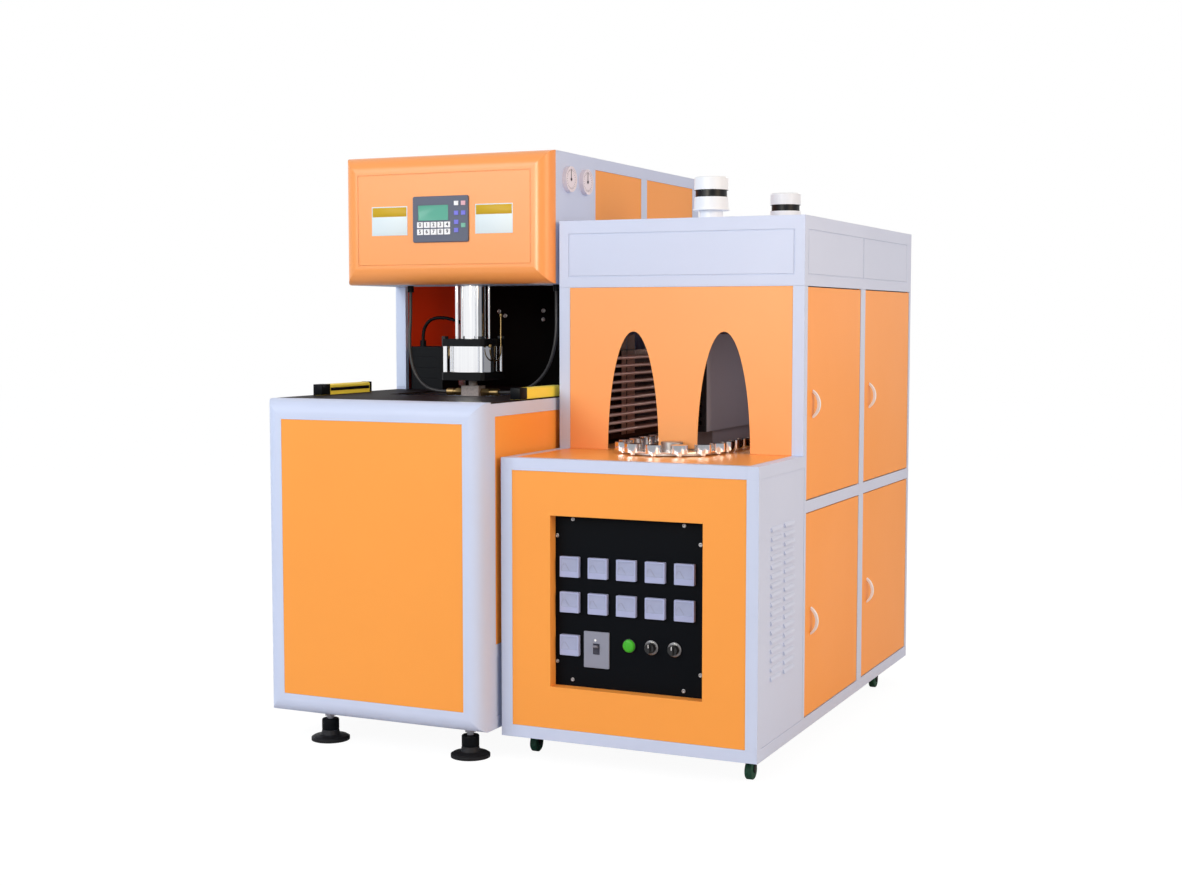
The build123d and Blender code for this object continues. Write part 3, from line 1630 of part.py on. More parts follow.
with BuildPart() as lamp_reflectors:
    for face, inward in bank_sides:
        back = face + inward * reflector_inset
        low_x, high_x = sorted((back, back + inward * bracket_depth))
        block((low_x, lamp_start - fold, wall_bottom), (high_x, lamp_end + fold, reflector_top))
        low_x, high_x = sorted((back + inward * sheet, back + inward * bracket_depth))
        block(
            (low_x, lamp_start - fold + bracket_thick, wall_bottom + sheet),
            (high_x, lamp_end + fold - bracket_thick, reflector_top - sheet),
            mode=Mode.SUBTRACT,
        )
        for y in (lamp_start + fold, lamp_end - fold - bracket_thick):
            block((low_x, y, wall_bottom + sheet), (high_x, y + bracket_thick, reflector_top - sheet))
            for z in lamp_zs:
                round_bar_y(
                    face + inward * lamp_inset, z, y, y + bracket_thick, lamp_radius + running, Mode.SUBTRACT
                )
lamp_reflectors.part.label = "lamp_reflectors"
export_step(lamp_reflectors.part, "parts/lamp_reflectors.step")

duct_start = heater_front + duct_front
duct_end = duct_start + duct_length
duct_foot_start = heater_front + duct_foot_front
slot_pitch = (duct_top - duct_bottom - 2 * fold) / duct_slots

with BuildPart() as centre_duct:
    block(
        (heater_middle - duct_half_width, duct_start, duct_bottom),
        (heater_middle + duct_half_width, duct_end, duct_top),
    )
    block(
        (heater_middle - duct_half_width * 0.75, duct_foot_start, counter_height),
        (heater_middle + duct_half_width * 0.75, duct_foot_start + duct_foot_length, duct_bottom),
    )
    block(
        (heater_middle - duct_half_width + sheet, duct_start + sheet, duct_bottom + sheet),
        (heater_middle + duct_half_width - sheet, duct_end - sheet, duct_top - sheet),
        mode=Mode.SUBTRACT,
    )
    block(
        (heater_middle - duct_half_width * 0.75 + sheet, duct_foot_start + sheet, counter_height + sheet),
        (
            heater_middle + duct_half_width * 0.75 - sheet,
            duct_foot_start + duct_foot_length - sheet,
            duct_bottom + sheet,
        ),
        mode=Mode.SUBTRACT,
    )
    for slot in range(duct_slots):
        z = duct_bottom + fold + slot * slot_pitch
        block(
            (heater_middle - duct_half_width * 0.8, duct_start, z),
            (heater_middle + duct_half_width * 0.8, duct_start + sheet, z + slot_pitch / 2),
            mode=Mode.SUBTRACT,
        )
centre_duct.part.label = "centre_duct"
export_step(centre_duct.part, "parts/centre_duct.step")


def chain_pins():
    """Every pin of the closed chain in order, seen from above: (x, y)."""
    step = 2 * pi / chain_teeth
    half = chain_teeth // 2
    pins = []
    for link in range(chain_straight_links):
        pins.append((heater_middle + wheel_radius, front_wheel_y + link * chain_pitch))
    for link in range(half):
        pins.append(
            (
                heater_middle + wheel_radius * cos(link * step),
                rear_wheel_y + wheel_radius * sin(link * step),
            )
        )
    for link in range(chain_straight_links):
        pins.append((heater_middle - wheel_radius, rear_wheel_y - link * chain_pitch))
    for link in range(half):
        pins.append(
            (
                heater_middle - wheel_radius * cos(link * step),
                front_wheel_y - wheel_radius * sin(link * step),
            )
        )
    return pins


pins = chain_pins()

with BuildPart() as chain_link:
    round_bar(0, 0, roller_bottom, link_bottom, roller_radius)
    round_bar(0, 0, link_bottom, holder_top, holder_radius)
    block(
        (0, -link_width / 2, link_bottom),
        (chain_pitch - holder_radius - seat, link_width / 2, link_bottom + link_thick),
    )

headings = [
    degrees(atan2(next_y - y, next_x - x)) for (x, y), (next_x, next_y) in zip(pins, pins[1:] + pins[:1])
]

with BuildPart() as holder_chain:
    with Locations(*(Location((x, y, 0), (0, 0, heading)) for (x, y), heading in zip(pins, headings))):
        add(chain_link.part)
holder_chain.part.label = "holder_chain"
export_step(holder_chain.part, "parts/holder_chain.step")


def chain_wheel(y, shaft_bottom):
    """A chain wheel with a seat for each roller, on its own shaft."""
    with BuildPart() as wheel:
        with BuildSketch(Plane.XY.offset(wheel_bottom)) as outline:
            with Locations((heater_middle, y)):
                Circle(wheel_radius)
                with PolarLocations(wheel_radius, chain_teeth):
                    Circle(roller_radius + seat, mode=Mode.SUBTRACT)
                with PolarLocations(wheel_radius * 0.55, chain_teeth // 2, start_angle=180 / chain_teeth):
                    Circle(wheel_hub_radius * 0.7, mode=Mode.SUBTRACT)
        extrude(outline.sketch, amount=wheel_thick)
        round_bar(heater_middle, y, wheel_bottom, holder_top, wheel_hub_radius)
        chamfer(wheel.faces().sort_by(Axis.Z)[-1].edges(), sheet)
        round_bar(heater_middle, y, shaft_bottom, wheel_bottom, wheel_shaft_radius)
    return wheel.part


with BuildPart() as front_wheel:
    add(chain_wheel(front_wheel_y, floor_underside - shaft_boss_length))
front_wheel.part.label = "front_wheel"
export_step(front_wheel.part, "parts/front_wheel.step")

with BuildPart() as drive_sprocket:
    add(chain_wheel(rear_wheel_y, floor_underside - gearbox_height / 2))
drive_sprocket.part.label = "drive_sprocket"
export_step(drive_sprocket.part, "parts/drive_sprocket.step")

with BuildPart() as gear_motor:
    block(
        (heater_middle - gearbox_side / 2, rear_wheel_y - gearbox_side / 2, floor_underside - gearbox_height),
        (heater_middle + gearbox_side / 2, rear_wheel_y + gearbox_side / 2, floor_underside),
    )
    fillet(gear_motor.edges().filter_by(Axis.Z), fold / 2)
    round_bar(
        heater_middle,
        rear_wheel_y,
        floor_underside - gearbox_height / 2 - seat,
        floor_underside,
        wheel_shaft_radius + running,
        Mode.SUBTRACT,
    )
    round_bar(
        heater_middle,
        rear_wheel_y,
        floor_underside - gearbox_height - motor_length,
        floor_underside - gearbox_height,
        motor_radius,
    )
    chamfer(gear_motor.faces().sort_by(Axis.Z)[0].edges(), fold / 2)
gear_motor.part.label = "gear_motor"
export_step(gear_motor.part, "parts/gear_motor.step")

stack_levels = [
    (stack_radius, stack_cap_height),
    (stack_band_radius, stack_band_height),
    (stack_radius, stack_collar_height),
    (stack_flange_radius, stack_flange_height),
]
stack_profile = [(0, heater_top + stack_height)]
level = heater_top + stack_height
for radius, high in stack_levels:
    stack_profile += [(radius, level), (radius, level - high)]
    level -= high
stack_profile += [(stack_neck_radius, level), (stack_neck_radius, heater_top - fold), (0, heater_top - fold)]

with BuildPart() as one_stack:
    with BuildSketch(Plane.XZ):
        with BuildLine():
            Polyline(*stack_profile, close=True)
        make_face()
    revolve(axis=Axis.Z)
    chamfer(one_stack.faces().sort_by(Axis.Z)[-1].edges(), 2 * sheet)

with BuildPart() as vent_stacks:
    with Locations(*((x, y, 0) for x, y in stack_points)):
        add(one_stack.part)
vent_stacks.part.label = "vent_stacks"
export_step(vent_stacks.part, "parts/vent_stacks.step")

# Castors: forks under the base frame, with wheels behind or ahead of their stems
castor_names = ("front_left", "front_right", "rear_left", "rear_right")
castor_trails = (castor_trail, -castor_trail, -castor_trail, -castor_trail)
crown_top = heater_bottom - seat
crown_bottom = crown_top - castor_crown_thick
fork_inner = castor_wheel_width / 2 + seat


def castor_fork(x, y, trail):
    """A castor's fork: stem, crown, two tapered cheeks and the wheel's axle."""
    with BuildPart() as fork:
        round_bar(x, y, crown_bottom, crown_top, castor_crown_radius)
        round_bar(x, y, crown_top, heater_bottom + fold, castor_stem_radius)
        for side in (-1, 1):
            cheek = x + side * (fork_inner + castor_fork_thick / 2)
            with BuildSketch(Plane.YZ.offset(cheek)) as outline:
                with BuildLine():
                    Polyline(
                        (y - castor_crown_radius * 0.8, crown_top - castor_crown_thick / 2),
                        (y + castor_crown_radius * 0.8, crown_top - castor_crown_thick / 2),
                        (y + trail + castor_axle_radius * 1.8, castor_wheel_radius),
                        (y + trail, castor_wheel_radius - castor_axle_radius * 1.8),
                        (y + trail - castor_axle_radius * 1.8, castor_wheel_radius),
                        close=True,
                    )
                make_face()
            extrude(outline.sketch, amount=castor_fork_thick / 2, both=True)
        with Locations(Location((x, y + trail, castor_wheel_radius), (0, 90, 0))):
            Cylinder(castor_axle_radius, 2 * (fork_inner + castor_fork_thick) + sheet)
    return fork.part


with BuildPart() as rear_castor_forks:
    for (x, y), trail in zip(castor_points[2:], castor_trails[2:]):
        add(castor_fork(x, y, trail))
rear_castor_forks.part.label = "rear_castor_forks"
export_step(rear_castor_forks.part, "parts/rear_castor_forks.step")

for name, (x, y), trail in zip(castor_names[:2], castor_points, castor_trails):
    with BuildPart() as front_fork:
        add(castor_fork(x, y, trail))
    front_fork.part.label = f"castor_fork_{name}"
    export_step(front_fork.part, f"parts/castor_fork_{name}.step")

for name, (x, y), trail in zip(castor_names, castor_points, castor_trails):
    with BuildPart() as castor_wheel:
        with Locations(Location((x, y + trail, castor_wheel_radius), (0, 90, 0))):
            Cylinder(castor_wheel_radius, castor_wheel_width)
            Cylinder(castor_axle_radius + running, castor_wheel_width, mode=Mode.SUBTRACT)
        chamfer(castor_wheel.edges().filter_by(GeomType.CIRCLE).sort_by(SortBy.RADIUS)[-2:], sheet)
    castor_wheel.part.label = f"castor_wheel_{name}"
    export_step(castor_wheel.part, f"parts/castor_wheel_{name}.step")
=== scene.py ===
# %% [markdown]
# A stretch blow moulding machine, dressed in Blender.
#
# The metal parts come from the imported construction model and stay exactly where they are. This lesson gives
# each of them a finish, lays the hoses, and adds the small pieces that make such a machine look real up
# close: keys, dials, screws, lamp ends and nuts. Everything is in metres: X runs to the right, Y to the
# rear and Z up.

# %% Load the frame
from math import pi, radians

import bmesh
import bpy
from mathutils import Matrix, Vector


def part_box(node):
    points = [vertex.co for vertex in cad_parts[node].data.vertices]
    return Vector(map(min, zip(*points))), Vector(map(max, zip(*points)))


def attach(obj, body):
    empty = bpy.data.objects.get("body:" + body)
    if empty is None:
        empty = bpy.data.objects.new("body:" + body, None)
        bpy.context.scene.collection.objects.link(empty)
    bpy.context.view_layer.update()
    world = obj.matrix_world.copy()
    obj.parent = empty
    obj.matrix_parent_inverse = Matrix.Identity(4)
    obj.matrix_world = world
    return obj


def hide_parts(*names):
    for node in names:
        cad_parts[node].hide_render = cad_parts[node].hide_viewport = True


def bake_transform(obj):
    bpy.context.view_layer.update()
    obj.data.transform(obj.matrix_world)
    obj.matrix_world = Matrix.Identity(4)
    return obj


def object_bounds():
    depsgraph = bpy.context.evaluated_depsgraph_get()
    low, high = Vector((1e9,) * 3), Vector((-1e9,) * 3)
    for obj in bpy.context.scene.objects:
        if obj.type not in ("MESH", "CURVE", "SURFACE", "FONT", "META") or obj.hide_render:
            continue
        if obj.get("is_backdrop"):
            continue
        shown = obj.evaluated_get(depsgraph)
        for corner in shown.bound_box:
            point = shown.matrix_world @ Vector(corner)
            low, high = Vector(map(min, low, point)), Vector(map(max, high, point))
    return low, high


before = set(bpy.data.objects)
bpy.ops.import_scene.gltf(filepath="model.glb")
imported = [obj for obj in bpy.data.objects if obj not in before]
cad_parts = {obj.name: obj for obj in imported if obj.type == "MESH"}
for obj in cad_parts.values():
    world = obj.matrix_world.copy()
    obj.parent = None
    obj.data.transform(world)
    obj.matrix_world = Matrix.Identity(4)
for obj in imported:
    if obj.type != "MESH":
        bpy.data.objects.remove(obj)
cad_low, cad_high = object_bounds()
print("the machine measures", [round(high - low, 4) for low, high in zip(cad_low, cad_high)])

# %% [markdown]
# The camera comes first, because hoses and small pieces are judged through it. The picture was taken at
# chest height, a little over 5 m away and to the right of the machine, with a lens of about 51 mm on a
# full-size sensor. Blender's camera looks along its own -Z, so a level camera is turned by 90 degrees about
# X, less the few degrees by which it looks down.

# %% Camera
EYE = (2.124, -4.8222, 1.2264)
LOOKS_DOWN = 4.213
LOOKS_LEFT = 24.678
lens = bpy.data.cameras.new("camera")
lens.sensor_width = 36
lens.lens = 50.87
camera = bpy.data.objects.new("camera", lens)
camera.location = EYE
camera.rotation_euler = (radians(90 - LOOKS_DOWN), 0, radians(LOOKS_LEFT))
bpy.context.scene.collection.objects.link(camera)
bpy.context.scene.camera = camera
machine_middle = (cad_low + cad_high) / 2
print(f"the camera stands {(camera.location - machine_middle).length:.2f} m from the machine's middle")

# %% [markdown]
# Three hoses hang in the throat. Each is a nylon air line with a real length, so it is a smooth spline
# through a few points and not a chain of cylinders. A NURBS spline of order 3 bends gently inside its
# control points, as a stiff hose does. The order is set after the points are there, because Blender lowers
# it on a spline that is still short.
#
# The spline without thickness gives the hose's centreline. With its thickness it becomes a mesh tube. On
# the real machine the two nozzle hoses bend: their upper ends stay where they are while their lower ends go
# down with the nozzle. Here their bend points are not used, and these two hoses ride on no body.

# %% Hoses
BLOW_LEFT, FRONT = -0.7495, -0.793
HOSE = 0.010
VALVE_HOSE = 0.011
SHARP = radians(40)
LEFT_ROUTE = (
    (264, 569, 1002), (213, 569, 1002), (170, 567, 1024), (142, 564, 1066),
    (130, 563, 1120), (128, 565, 1180), (131, 569, 1240), (131, 569, 1314),
)
LEFT_BEND = ((165, 569, 1045), (245, 569, 1000))
RIGHT_ROUTE = (
    (446, 569, 1002), (498, 569, 1002), (546, 566, 1014), (588, 563, 1040), (621, 561, 1080),
    (640, 561, 1133), (648, 564, 1191), (645, 569, 1251), (645, 569, 1314),
)
RIGHT_BEND = ((545, 569, 1030), (465, 569, 1000))
VALVE_ROUTE = (
    (75, 740, 1160), (75, 740, 1191), (90.5, 740, 1218), (117, 740, 1233), (155, 740, 1234),
    (195, 741, 1226), (236, 742, 1210), (275, 742, 1189), (305, 741, 1171), (333, 740, 1160),
    (359.5, 724.5, 1156.5), (375, 698, 1156.5), (375, 664, 1156.5),
)


def select_none():
    """Selects nothing, because operators act on everything that is selected."""
    bpy.ops.object.select_all(action="DESELECT")


def select_only(piece):
    """Selects one object and makes it active."""
    select_none()
    piece.select_set(True)
    bpy.context.view_layer.objects.active = piece


def blow_point(x, y, z):
    """A point given in millimetres from the blow unit's left front corner, in metres in the frame."""
    return (BLOW_LEFT + x / 1000, FRONT + y / 1000, z / 1000)


def lay_hose(name, route, diameter, node, length, bend=None):
    """A hose along a route; without a bend it rides on the machine, and with one it stays where it is laid.
    """
    points = [blow_point(*point) for point in route]
    line = bpy.data.curves.new(name, "CURVE")
    line.dimensions = "3D"
    line.resolution_u = 10
    spline = line.splines.new("NURBS")
    spline.points.add(len(points) - 1)
    for control, point in zip(spline.points, points):
        control.co = (*point, 1)
    spline.order_u = 3
    spline.use_endpoint_u = True
    hose = bpy.data.objects.new(name, line)
    bpy.context.scene.collection.objects.link(hose)
    thread = bpy.data.meshes.new_from_object(hose)
    bpy.data.meshes.remove(thread)
    line.bevel_depth = diameter / 2
    line.bevel_resolution = 5
    line.use_fill_caps = True
    select_only(hose)
    bpy.ops.object.convert(target="MESH")
    bpy.ops.object.shade_smooth_by_angle(angle=SHARP)
    hose = bpy.context.object
    if bend:
        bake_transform(hose)
    else:
        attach(hose, "machine")
    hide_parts(node)
    print(f"{name}: {length} m through {len(route)} points")
    return hose


hoses = [
    lay_hose("nozzle_air_line_left", LEFT_ROUTE, HOSE, "nozzle_hose_left", 0.398, LEFT_BEND),
    lay_hose("nozzle_air_line_right", RIGHT_ROUTE, HOSE, "nozzle_hose_right", 0.438, RIGHT_BEND),
    lay_hose("valve_air_line", VALVE_ROUTE, VALVE_HOSE, "valve_hose", 0.416),
]

# %% [markdown]
# Every finish here is made of the same few effects, so each effect is a node group that is built once.
# A group puts out only values that change over the surface: a fine grain, a slow cloud of tone, the mask of
# a rubbed edge. What is the same all over is set on the shader itself.

# %% Effect groups


def new_group(name, inputs, outputs):
    """An empty shader group with plain sockets, and its two end nodes."""
    group = bpy.data.node_groups.new(name, "ShaderNodeTree")
    for label, kind, value in inputs:
        socket = group.interface.new_socket(label, in_out="INPUT", socket_type=kind)
        socket.default_value = value
    for label, kind in outputs:
        group.interface.new_socket(label, in_out="OUTPUT", socket_type=kind)
    return group, group.nodes.new("NodeGroupInput"), group.nodes.new("NodeGroupOutput")


def math_node(tree, operation, first, second=None, clamp=False):
    """A Math node whose inputs are sockets or numbers; returns its output."""
    node = tree.nodes.new("ShaderNodeMath")
    node.operation = operation
    node.use_clamp = clamp
    for socket, value in zip(node.inputs, (first, second)):
        if value is None:
            continue
        if isinstance(value, (int, float)):
            socket.default_value = value
        else:
            tree.links.new(value, socket)
    return node.outputs[0]


def own_place(tree):
    """A point's place in its object's own coordinates."""
    return tree.nodes.new("ShaderNodeTexCoord").outputs["Object"]


FLOAT, VECTOR = "NodeSocketFloat", "NodeSocketVector"

coat_group, inside, outside = new_group(
    "powder coat",
    [("Grain Scale", FLOAT, 900.0), ("Cloud Scale", FLOAT, 3.0)],
    [("Grain", FLOAT), ("Cloud", FLOAT)],
)
place = own_place(coat_group)
for label, socket, detail in (("Grain", "Grain Scale", 1.0), ("Cloud", "Cloud Scale", 4.0)):
    noise = coat_group.nodes.new("ShaderNodeTexNoise")
    noise.inputs["Detail"].default_value = detail
    coat_group.links.new(place, noise.inputs["Vector"])
    coat_group.links.new(inside.outputs[socket], noise.inputs["Scale"])
    coat_group.links.new(noise.outputs["Fac"], outside.inputs[label])

edge_group, inside, outside = new_group(
    "rubbed edges",
    [("Radius", FLOAT, 0.0015), ("Breakup", FLOAT, 60.0)],
    [("Mask", FLOAT), ("Normal", VECTOR)],
)
bevel = edge_group.nodes.new("ShaderNodeBevel")
bevel.samples = 4
surface = edge_group.nodes.new("ShaderNodeNewGeometry")
facing = edge_group.nodes.new("ShaderNodeVectorMath")
facing.operation = "DOT_PRODUCT"
patches = edge_group.nodes.new("ShaderNodeTexNoise")
edge_group.links.new(inside.outputs["Radius"], bevel.inputs["Radius"])
edge_group.links.new(bevel.outputs[0], facing.inputs[0])
edge_group.links.new(surface.outputs["Normal"], facing.inputs[1])
edge_group.links.new(own_place(edge_group), patches.inputs["Vector"])
edge_group.links.new(inside.outputs["Breakup"], patches.inputs["Scale"])
turned_away = math_node(edge_group, "SUBTRACT", 1.0, facing.outputs["Value"])
broken = math_node(edge_group, "MULTIPLY", turned_away, patches.outputs["Fac"])
edge_group.links.new(math_node(edge_group, "MULTIPLY", broken, 4.0, clamp=True), outside.inputs["Mask"])
edge_group.links.new(bevel.outputs[0], outside.inputs["Normal"])

brush_group, inside, outside = new_group(
    "brushed steel", [("Stretch", VECTOR, (1.0, 1.0, 40.0)), ("Scale", FLOAT, 30.0)], [("Streak", FLOAT)]
)
stretch = brush_group.nodes.new("ShaderNodeVectorMath")
stretch.operation = "MULTIPLY"
streaks = brush_group.nodes.new("ShaderNodeTexNoise")
streaks.inputs["Detail"].default_value = 3
brush_group.links.new(own_place(brush_group), stretch.inputs[0])
brush_group.links.new(inside.outputs["Stretch"], stretch.inputs[1])
brush_group.links.new(stretch.outputs[0], streaks.inputs["Vector"])
brush_group.links.new(inside.outputs["Scale"], streaks.inputs["Scale"])
brush_group.links.new(streaks.outputs["Fac"], outside.inputs["Streak"])

EVERYWHERE = 9.0
zone_group, inside, outside = new_group(
    "zone",
    [("Low", VECTOR, (-EVERYWHERE,) * 3), ("High", VECTOR, (EVERYWHERE,) * 3)],
    [("Mask", FLOAT)],
)
parts_of = []
for source in (own_place(zone_group), inside.outputs["Low"], inside.outputs["High"]):
    split = zone_group.nodes.new("ShaderNodeSeparateXYZ")
    zone_group.links.new(source, split.inputs[0])
    parts_of.append(split.outputs)
mask = 1.0
for place, low, high in zip(*parts_of):
    above = math_node(zone_group, "GREATER_THAN", place, low)
    below = math_node(zone_group, "LESS_THAN", place, high)
    mask = math_node(zone_group, "MULTIPLY", math_node(zone_group, "MULTIPLY", above, below), mask)
zone_group.links.new(mask, outside.inputs["Mask"])
print("effect groups:", [group.name for group in bpy.data.node_groups])

# %% [markdown]
# A finish is one Principled shader with its own numbers, fed by those groups. Two small functions make
# nearly all of them, one for paint and plastic and one for bare metal, and each keeps what it makes under
# its name. A zone is a box in the object's own coordinates, which lets one casting or turned part be painted
# in two colours, as where a black band runs round a white vent. Two zones paint light and shade instead: a
# painted highlight on the blow frame's left rear post, and painted shade on the left panel's inner face.

# %% Finishes
finishes = {}


def place_group(tree, group, **values):
    """Places a group in a material with its own values."""
    node = tree.nodes.new("ShaderNodeGroup")
    node.node_tree = group
    for label, value in values.items():
        node.inputs[label.replace("_", " ")].default_value = value
    return node


def mix_colour(tree, factor, first, second):
    """A colour between two, by a mask; each is a socket or a colour."""
    node = tree.nodes.new("ShaderNodeMix")
    node.data_type = "RGBA"
    tree.links.new(factor, node.inputs["Factor"])
    for socket, value in ((node.inputs["A"], first), (node.inputs["B"], second)):
        if isinstance(value, tuple):
            socket.default_value = (*value, 1)
        else:
            tree.links.new(value, socket)
    return node.outputs["Result"]


def mix_value(tree, factor, first, second):
    """A number between two, by a mask."""
    span = math_node(tree, "MULTIPLY", factor, second - first)
    return math_node(tree, "ADD", span, first)


def lift(colour, by):
    """A colour scaled towards light or dark."""
    return tuple(min(1.0, channel * by) for channel in colour)


def start_finish(name, metallic, specular=0.5):
    """A new material with its tree and its Principled shader."""
    material = bpy.data.materials.new(name)
    material.use_nodes = True
    tree = material.node_tree
    shader = tree.nodes["Principled BSDF"]
    shader.inputs["Metallic"].default_value = metallic
    shader.inputs["Specular IOR Level"].default_value = specular
    return material, tree, shader


def add_relief(tree, shader, height, normal, strength, distance):
    """A fine relief over the softened edges."""
    bump = tree.nodes.new("ShaderNodeBump")
    bump.inputs["Strength"].default_value = strength
    bump.inputs["Distance"].default_value = distance
    tree.links.new(height, bump.inputs["Height"])
    tree.links.new(normal, bump.inputs["Normal"])
    tree.links.new(bump.outputs[0], shader.inputs["Normal"])


def paint(
    name, colour, rough=0.42, grain=900.0, depth=0.12, edge=0.0015,
    cloud=2.5, mottle=0.045, worn=None, zones=(), shine=0.2,
):
    """Paint or plastic: a slow cloud of tone, a fine grain, softened edges, and zones of other colours."""
    material, tree, shader = start_finish(name, 0.0, shine)
    coat = place_group(tree, coat_group, Grain_Scale=grain, Cloud_Scale=cloud)
    edges = place_group(tree, edge_group, Radius=edge)
    tone = mix_colour(tree, coat.outputs["Cloud"], lift(colour, 1 + mottle), lift(colour, 1 - mottle))
    tone = mix_colour(tree, edges.outputs["Mask"], tone, worn or lift(colour, 1.12))
    for low, high, other in zones:
        zone = place_group(tree, zone_group, Low=low, High=high)
        tone = mix_colour(tree, zone.outputs["Mask"], tone, other)
    add_relief(tree, shader, coat.outputs["Grain"], edges.outputs["Normal"], depth, 0.0004)
    tree.links.new(tone, shader.inputs["Base Color"])
    roughness = mix_value(tree, coat.outputs["Cloud"], rough - 0.05, rough + 0.07)
    tree.links.new(roughness, shader.inputs["Roughness"])
    finishes[name] = material


def metal(
    name, colour, rough=0.2, stretch=(1.0, 1.0, 40.0), scale=30.0,
    depth=0.06, edge=0.0008, spread=0.06,
):
    """Bare metal: streaks of the tool or the brush in its tone, roughness and relief."""
    material, tree, shader = start_finish(name, 1.0)
    brush = place_group(tree, brush_group, Stretch=stretch, Scale=scale)
    edges = place_group(tree, edge_group, Radius=edge)
    tone = mix_colour(tree, brush.outputs["Streak"], lift(colour, 1.06), lift(colour, 0.88))
    add_relief(tree, shader, brush.outputs["Streak"], edges.outputs["Normal"], depth, 0.0003)
    tree.links.new(tone, shader.inputs["Base Color"])
    roughness = mix_value(tree, brush.outputs["Streak"], rough - spread, rough + spread)
    tree.links.new(roughness, shader.inputs["Roughness"])
    finishes[name] = material


ORANGE = (0.98, 0.365, 0.066)
PALE = (0.60, 0.67, 0.86)
BLACK = (0.006, 0.007, 0.009)
WHITE = (0.86, 0.86, 0.90)
CHROME = (0.92, 0.93, 0.97)


def box_zone(colour, low=(None, None, None), high=(None, None, None)):
    """A zone between two corners in a colour; None leaves a side open."""
    low = tuple(-EVERYWHERE if side is None else side for side in low)
    high = tuple(EVERYWHERE if side is None else side for side in high)
    return low, high, colour


DECK_TOP = 1.0
DOOR_PROUD = 0.0347
PLATE_BEHIND_METERS = 0.012
BREAKER_MIDDLE = (0.2525, 0.326)
BREAKER_HALF = (0.038, 0.051)
door_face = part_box("oven_wall")[1].x + DOOR_PROUD
stack_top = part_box("vent_stacks")[1].z
plate_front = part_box("panel_meters")[0].y + PLATE_BEHIND_METERS
panel_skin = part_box("upper_side_panels")[0].x + 0.0008
duct_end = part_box("centre_duct")[0].y + 0.004
breaker_low, breaker_high = (
    (BREAKER_MIDDLE[0] + side * BREAKER_HALF[0], None, BREAKER_MIDDLE[1] + side * BREAKER_HALF[1])
    for side in (-1, 1)
)
handle_zone = box_zone(WHITE, low=(door_face, None, None))
band_zone = box_zone(BLACK, low=(None, None, stack_top - 0.0598), high=(None, None, stack_top - 0.0387))
bulkhead_zone = box_zone((0.004, 0.0035, 0.0035), low=(None, None, DECK_TOP + 0.0001))
lens_zone = box_zone((0.05, 0.44, 0.02), high=(None, plate_front - 0.0055, None))
knob_zone = box_zone(BLACK, high=(None, plate_front - 0.0042, None))
stem_zone = box_zone((0.42, 0.42, 0.46), low=(None, None, 0.0625))
pad_zone = box_zone((0.012, 0.012, 0.014), high=(None, None, 0.0165))
# Painted shade: the inner face of the left upper side panel is a deeper, darker red than its outside.
painted_shade_zone = box_zone((0.98, 0.085, 0.020), low=(panel_skin, None, None), high=(-0.60, None, None))
# Painted highlight: the upper part of the blow frame's left rear post is painted paler than the rest of the
# frame.
painted_light_zone = box_zone((0.70, 0.78, 0.98), low=(None, -0.2, 1.01), high=(-0.70, 0.3, 1.33))
duct_end_zone = box_zone((0.008, 0.007, 0.009), high=(None, duct_end, None))
breaker_zone = box_zone((0.27, 0.285, 0.36), low=breaker_low, high=breaker_high)

paint("orange_coat", ORANGE, rough=0.38)
paint("head_coat", (0.97, 0.355, 0.095), rough=0.28, cloud=0.6, shine=0.4)
paint("wall_coat", (0.98, 0.405, 0.135), rough=0.38)
paint("side_coat_painted_shade", ORANGE, rough=0.38, zones=[painted_shade_zone])
paint("counter_coat", ORANGE, rough=0.33, shine=0.6)
paint("door_coat", ORANGE, rough=0.38, zones=[handle_zone])
paint("pale_coat", PALE, rough=0.4)
paint("frame_coat_painted_light", PALE, rough=0.4, zones=[painted_light_zone])
paint("white_coat", (0.91, 0.94, 0.99), rough=0.35, zones=[band_zone])
paint(
    "deck_coat", (0.012, 0.008, 0.009), rough=0.5,
    worn=(0.12, 0.09, 0.09), zones=[bulkhead_zone], shine=0.02,
)
paint("black_plate", (0.003, 0.004, 0.006), rough=0.45, grain=1600.0, worn=(0.02, 0.02, 0.024), shine=0.04)
paint("black_block", BLACK, rough=0.4, grain=1500.0, worn=(0.05, 0.05, 0.06), shine=0.08)
paint(
    "foot_coat", (0.022, 0.022, 0.026), rough=0.45, depth=0.25,
    worn=(0.10, 0.10, 0.11), zones=[pad_zone, stem_zone], shine=0.15,
)
paint("case_grey", (0.13, 0.145, 0.20), rough=0.5, grain=1400.0, depth=0.2, shine=0.15)
paint("meter_case", (0.40, 0.44, 0.66), rough=0.3, cloud=30.0, zones=[breaker_zone])
paint("gauge_white", (0.84, 0.76, 0.82), rough=0.3, cloud=40.0)
paint("curtain_yellow", (0.99, 0.80, 0.085), rough=0.35, worn=(0.95, 0.75, 0.3))
paint("lamp_case", BLACK, rough=0.25, zones=[lens_zone], shine=0.3)
metal("knob_case", (0.22, 0.22, 0.23), rough=0.3)
paint("wheel_green", (0.012, 0.06, 0.035), rough=0.5, grain=300.0, depth=0.3)
paint("fork_black", (0.010, 0.010, 0.012), rough=0.4, worn=(0.2, 0.2, 0.2), shine=0.1)
for name in ("polished", "tie_rod"):
    metal(name, CHROME, rough=0.06, stretch=(9.0, 9.0, 0.02), depth=0.0, edge=0.0, spread=0.015)
paint(
    "block_steel", (0.36, 0.30, 0.285), rough=0.35, grain=700.0,
    depth=0.6, cloud=150.0, mottle=0.55, shine=0.6,
)
metal("machined", (0.42, 0.40, 0.40), rough=0.34, stretch=(40.0, 1.0, 1.0), scale=20.0, depth=0.2)
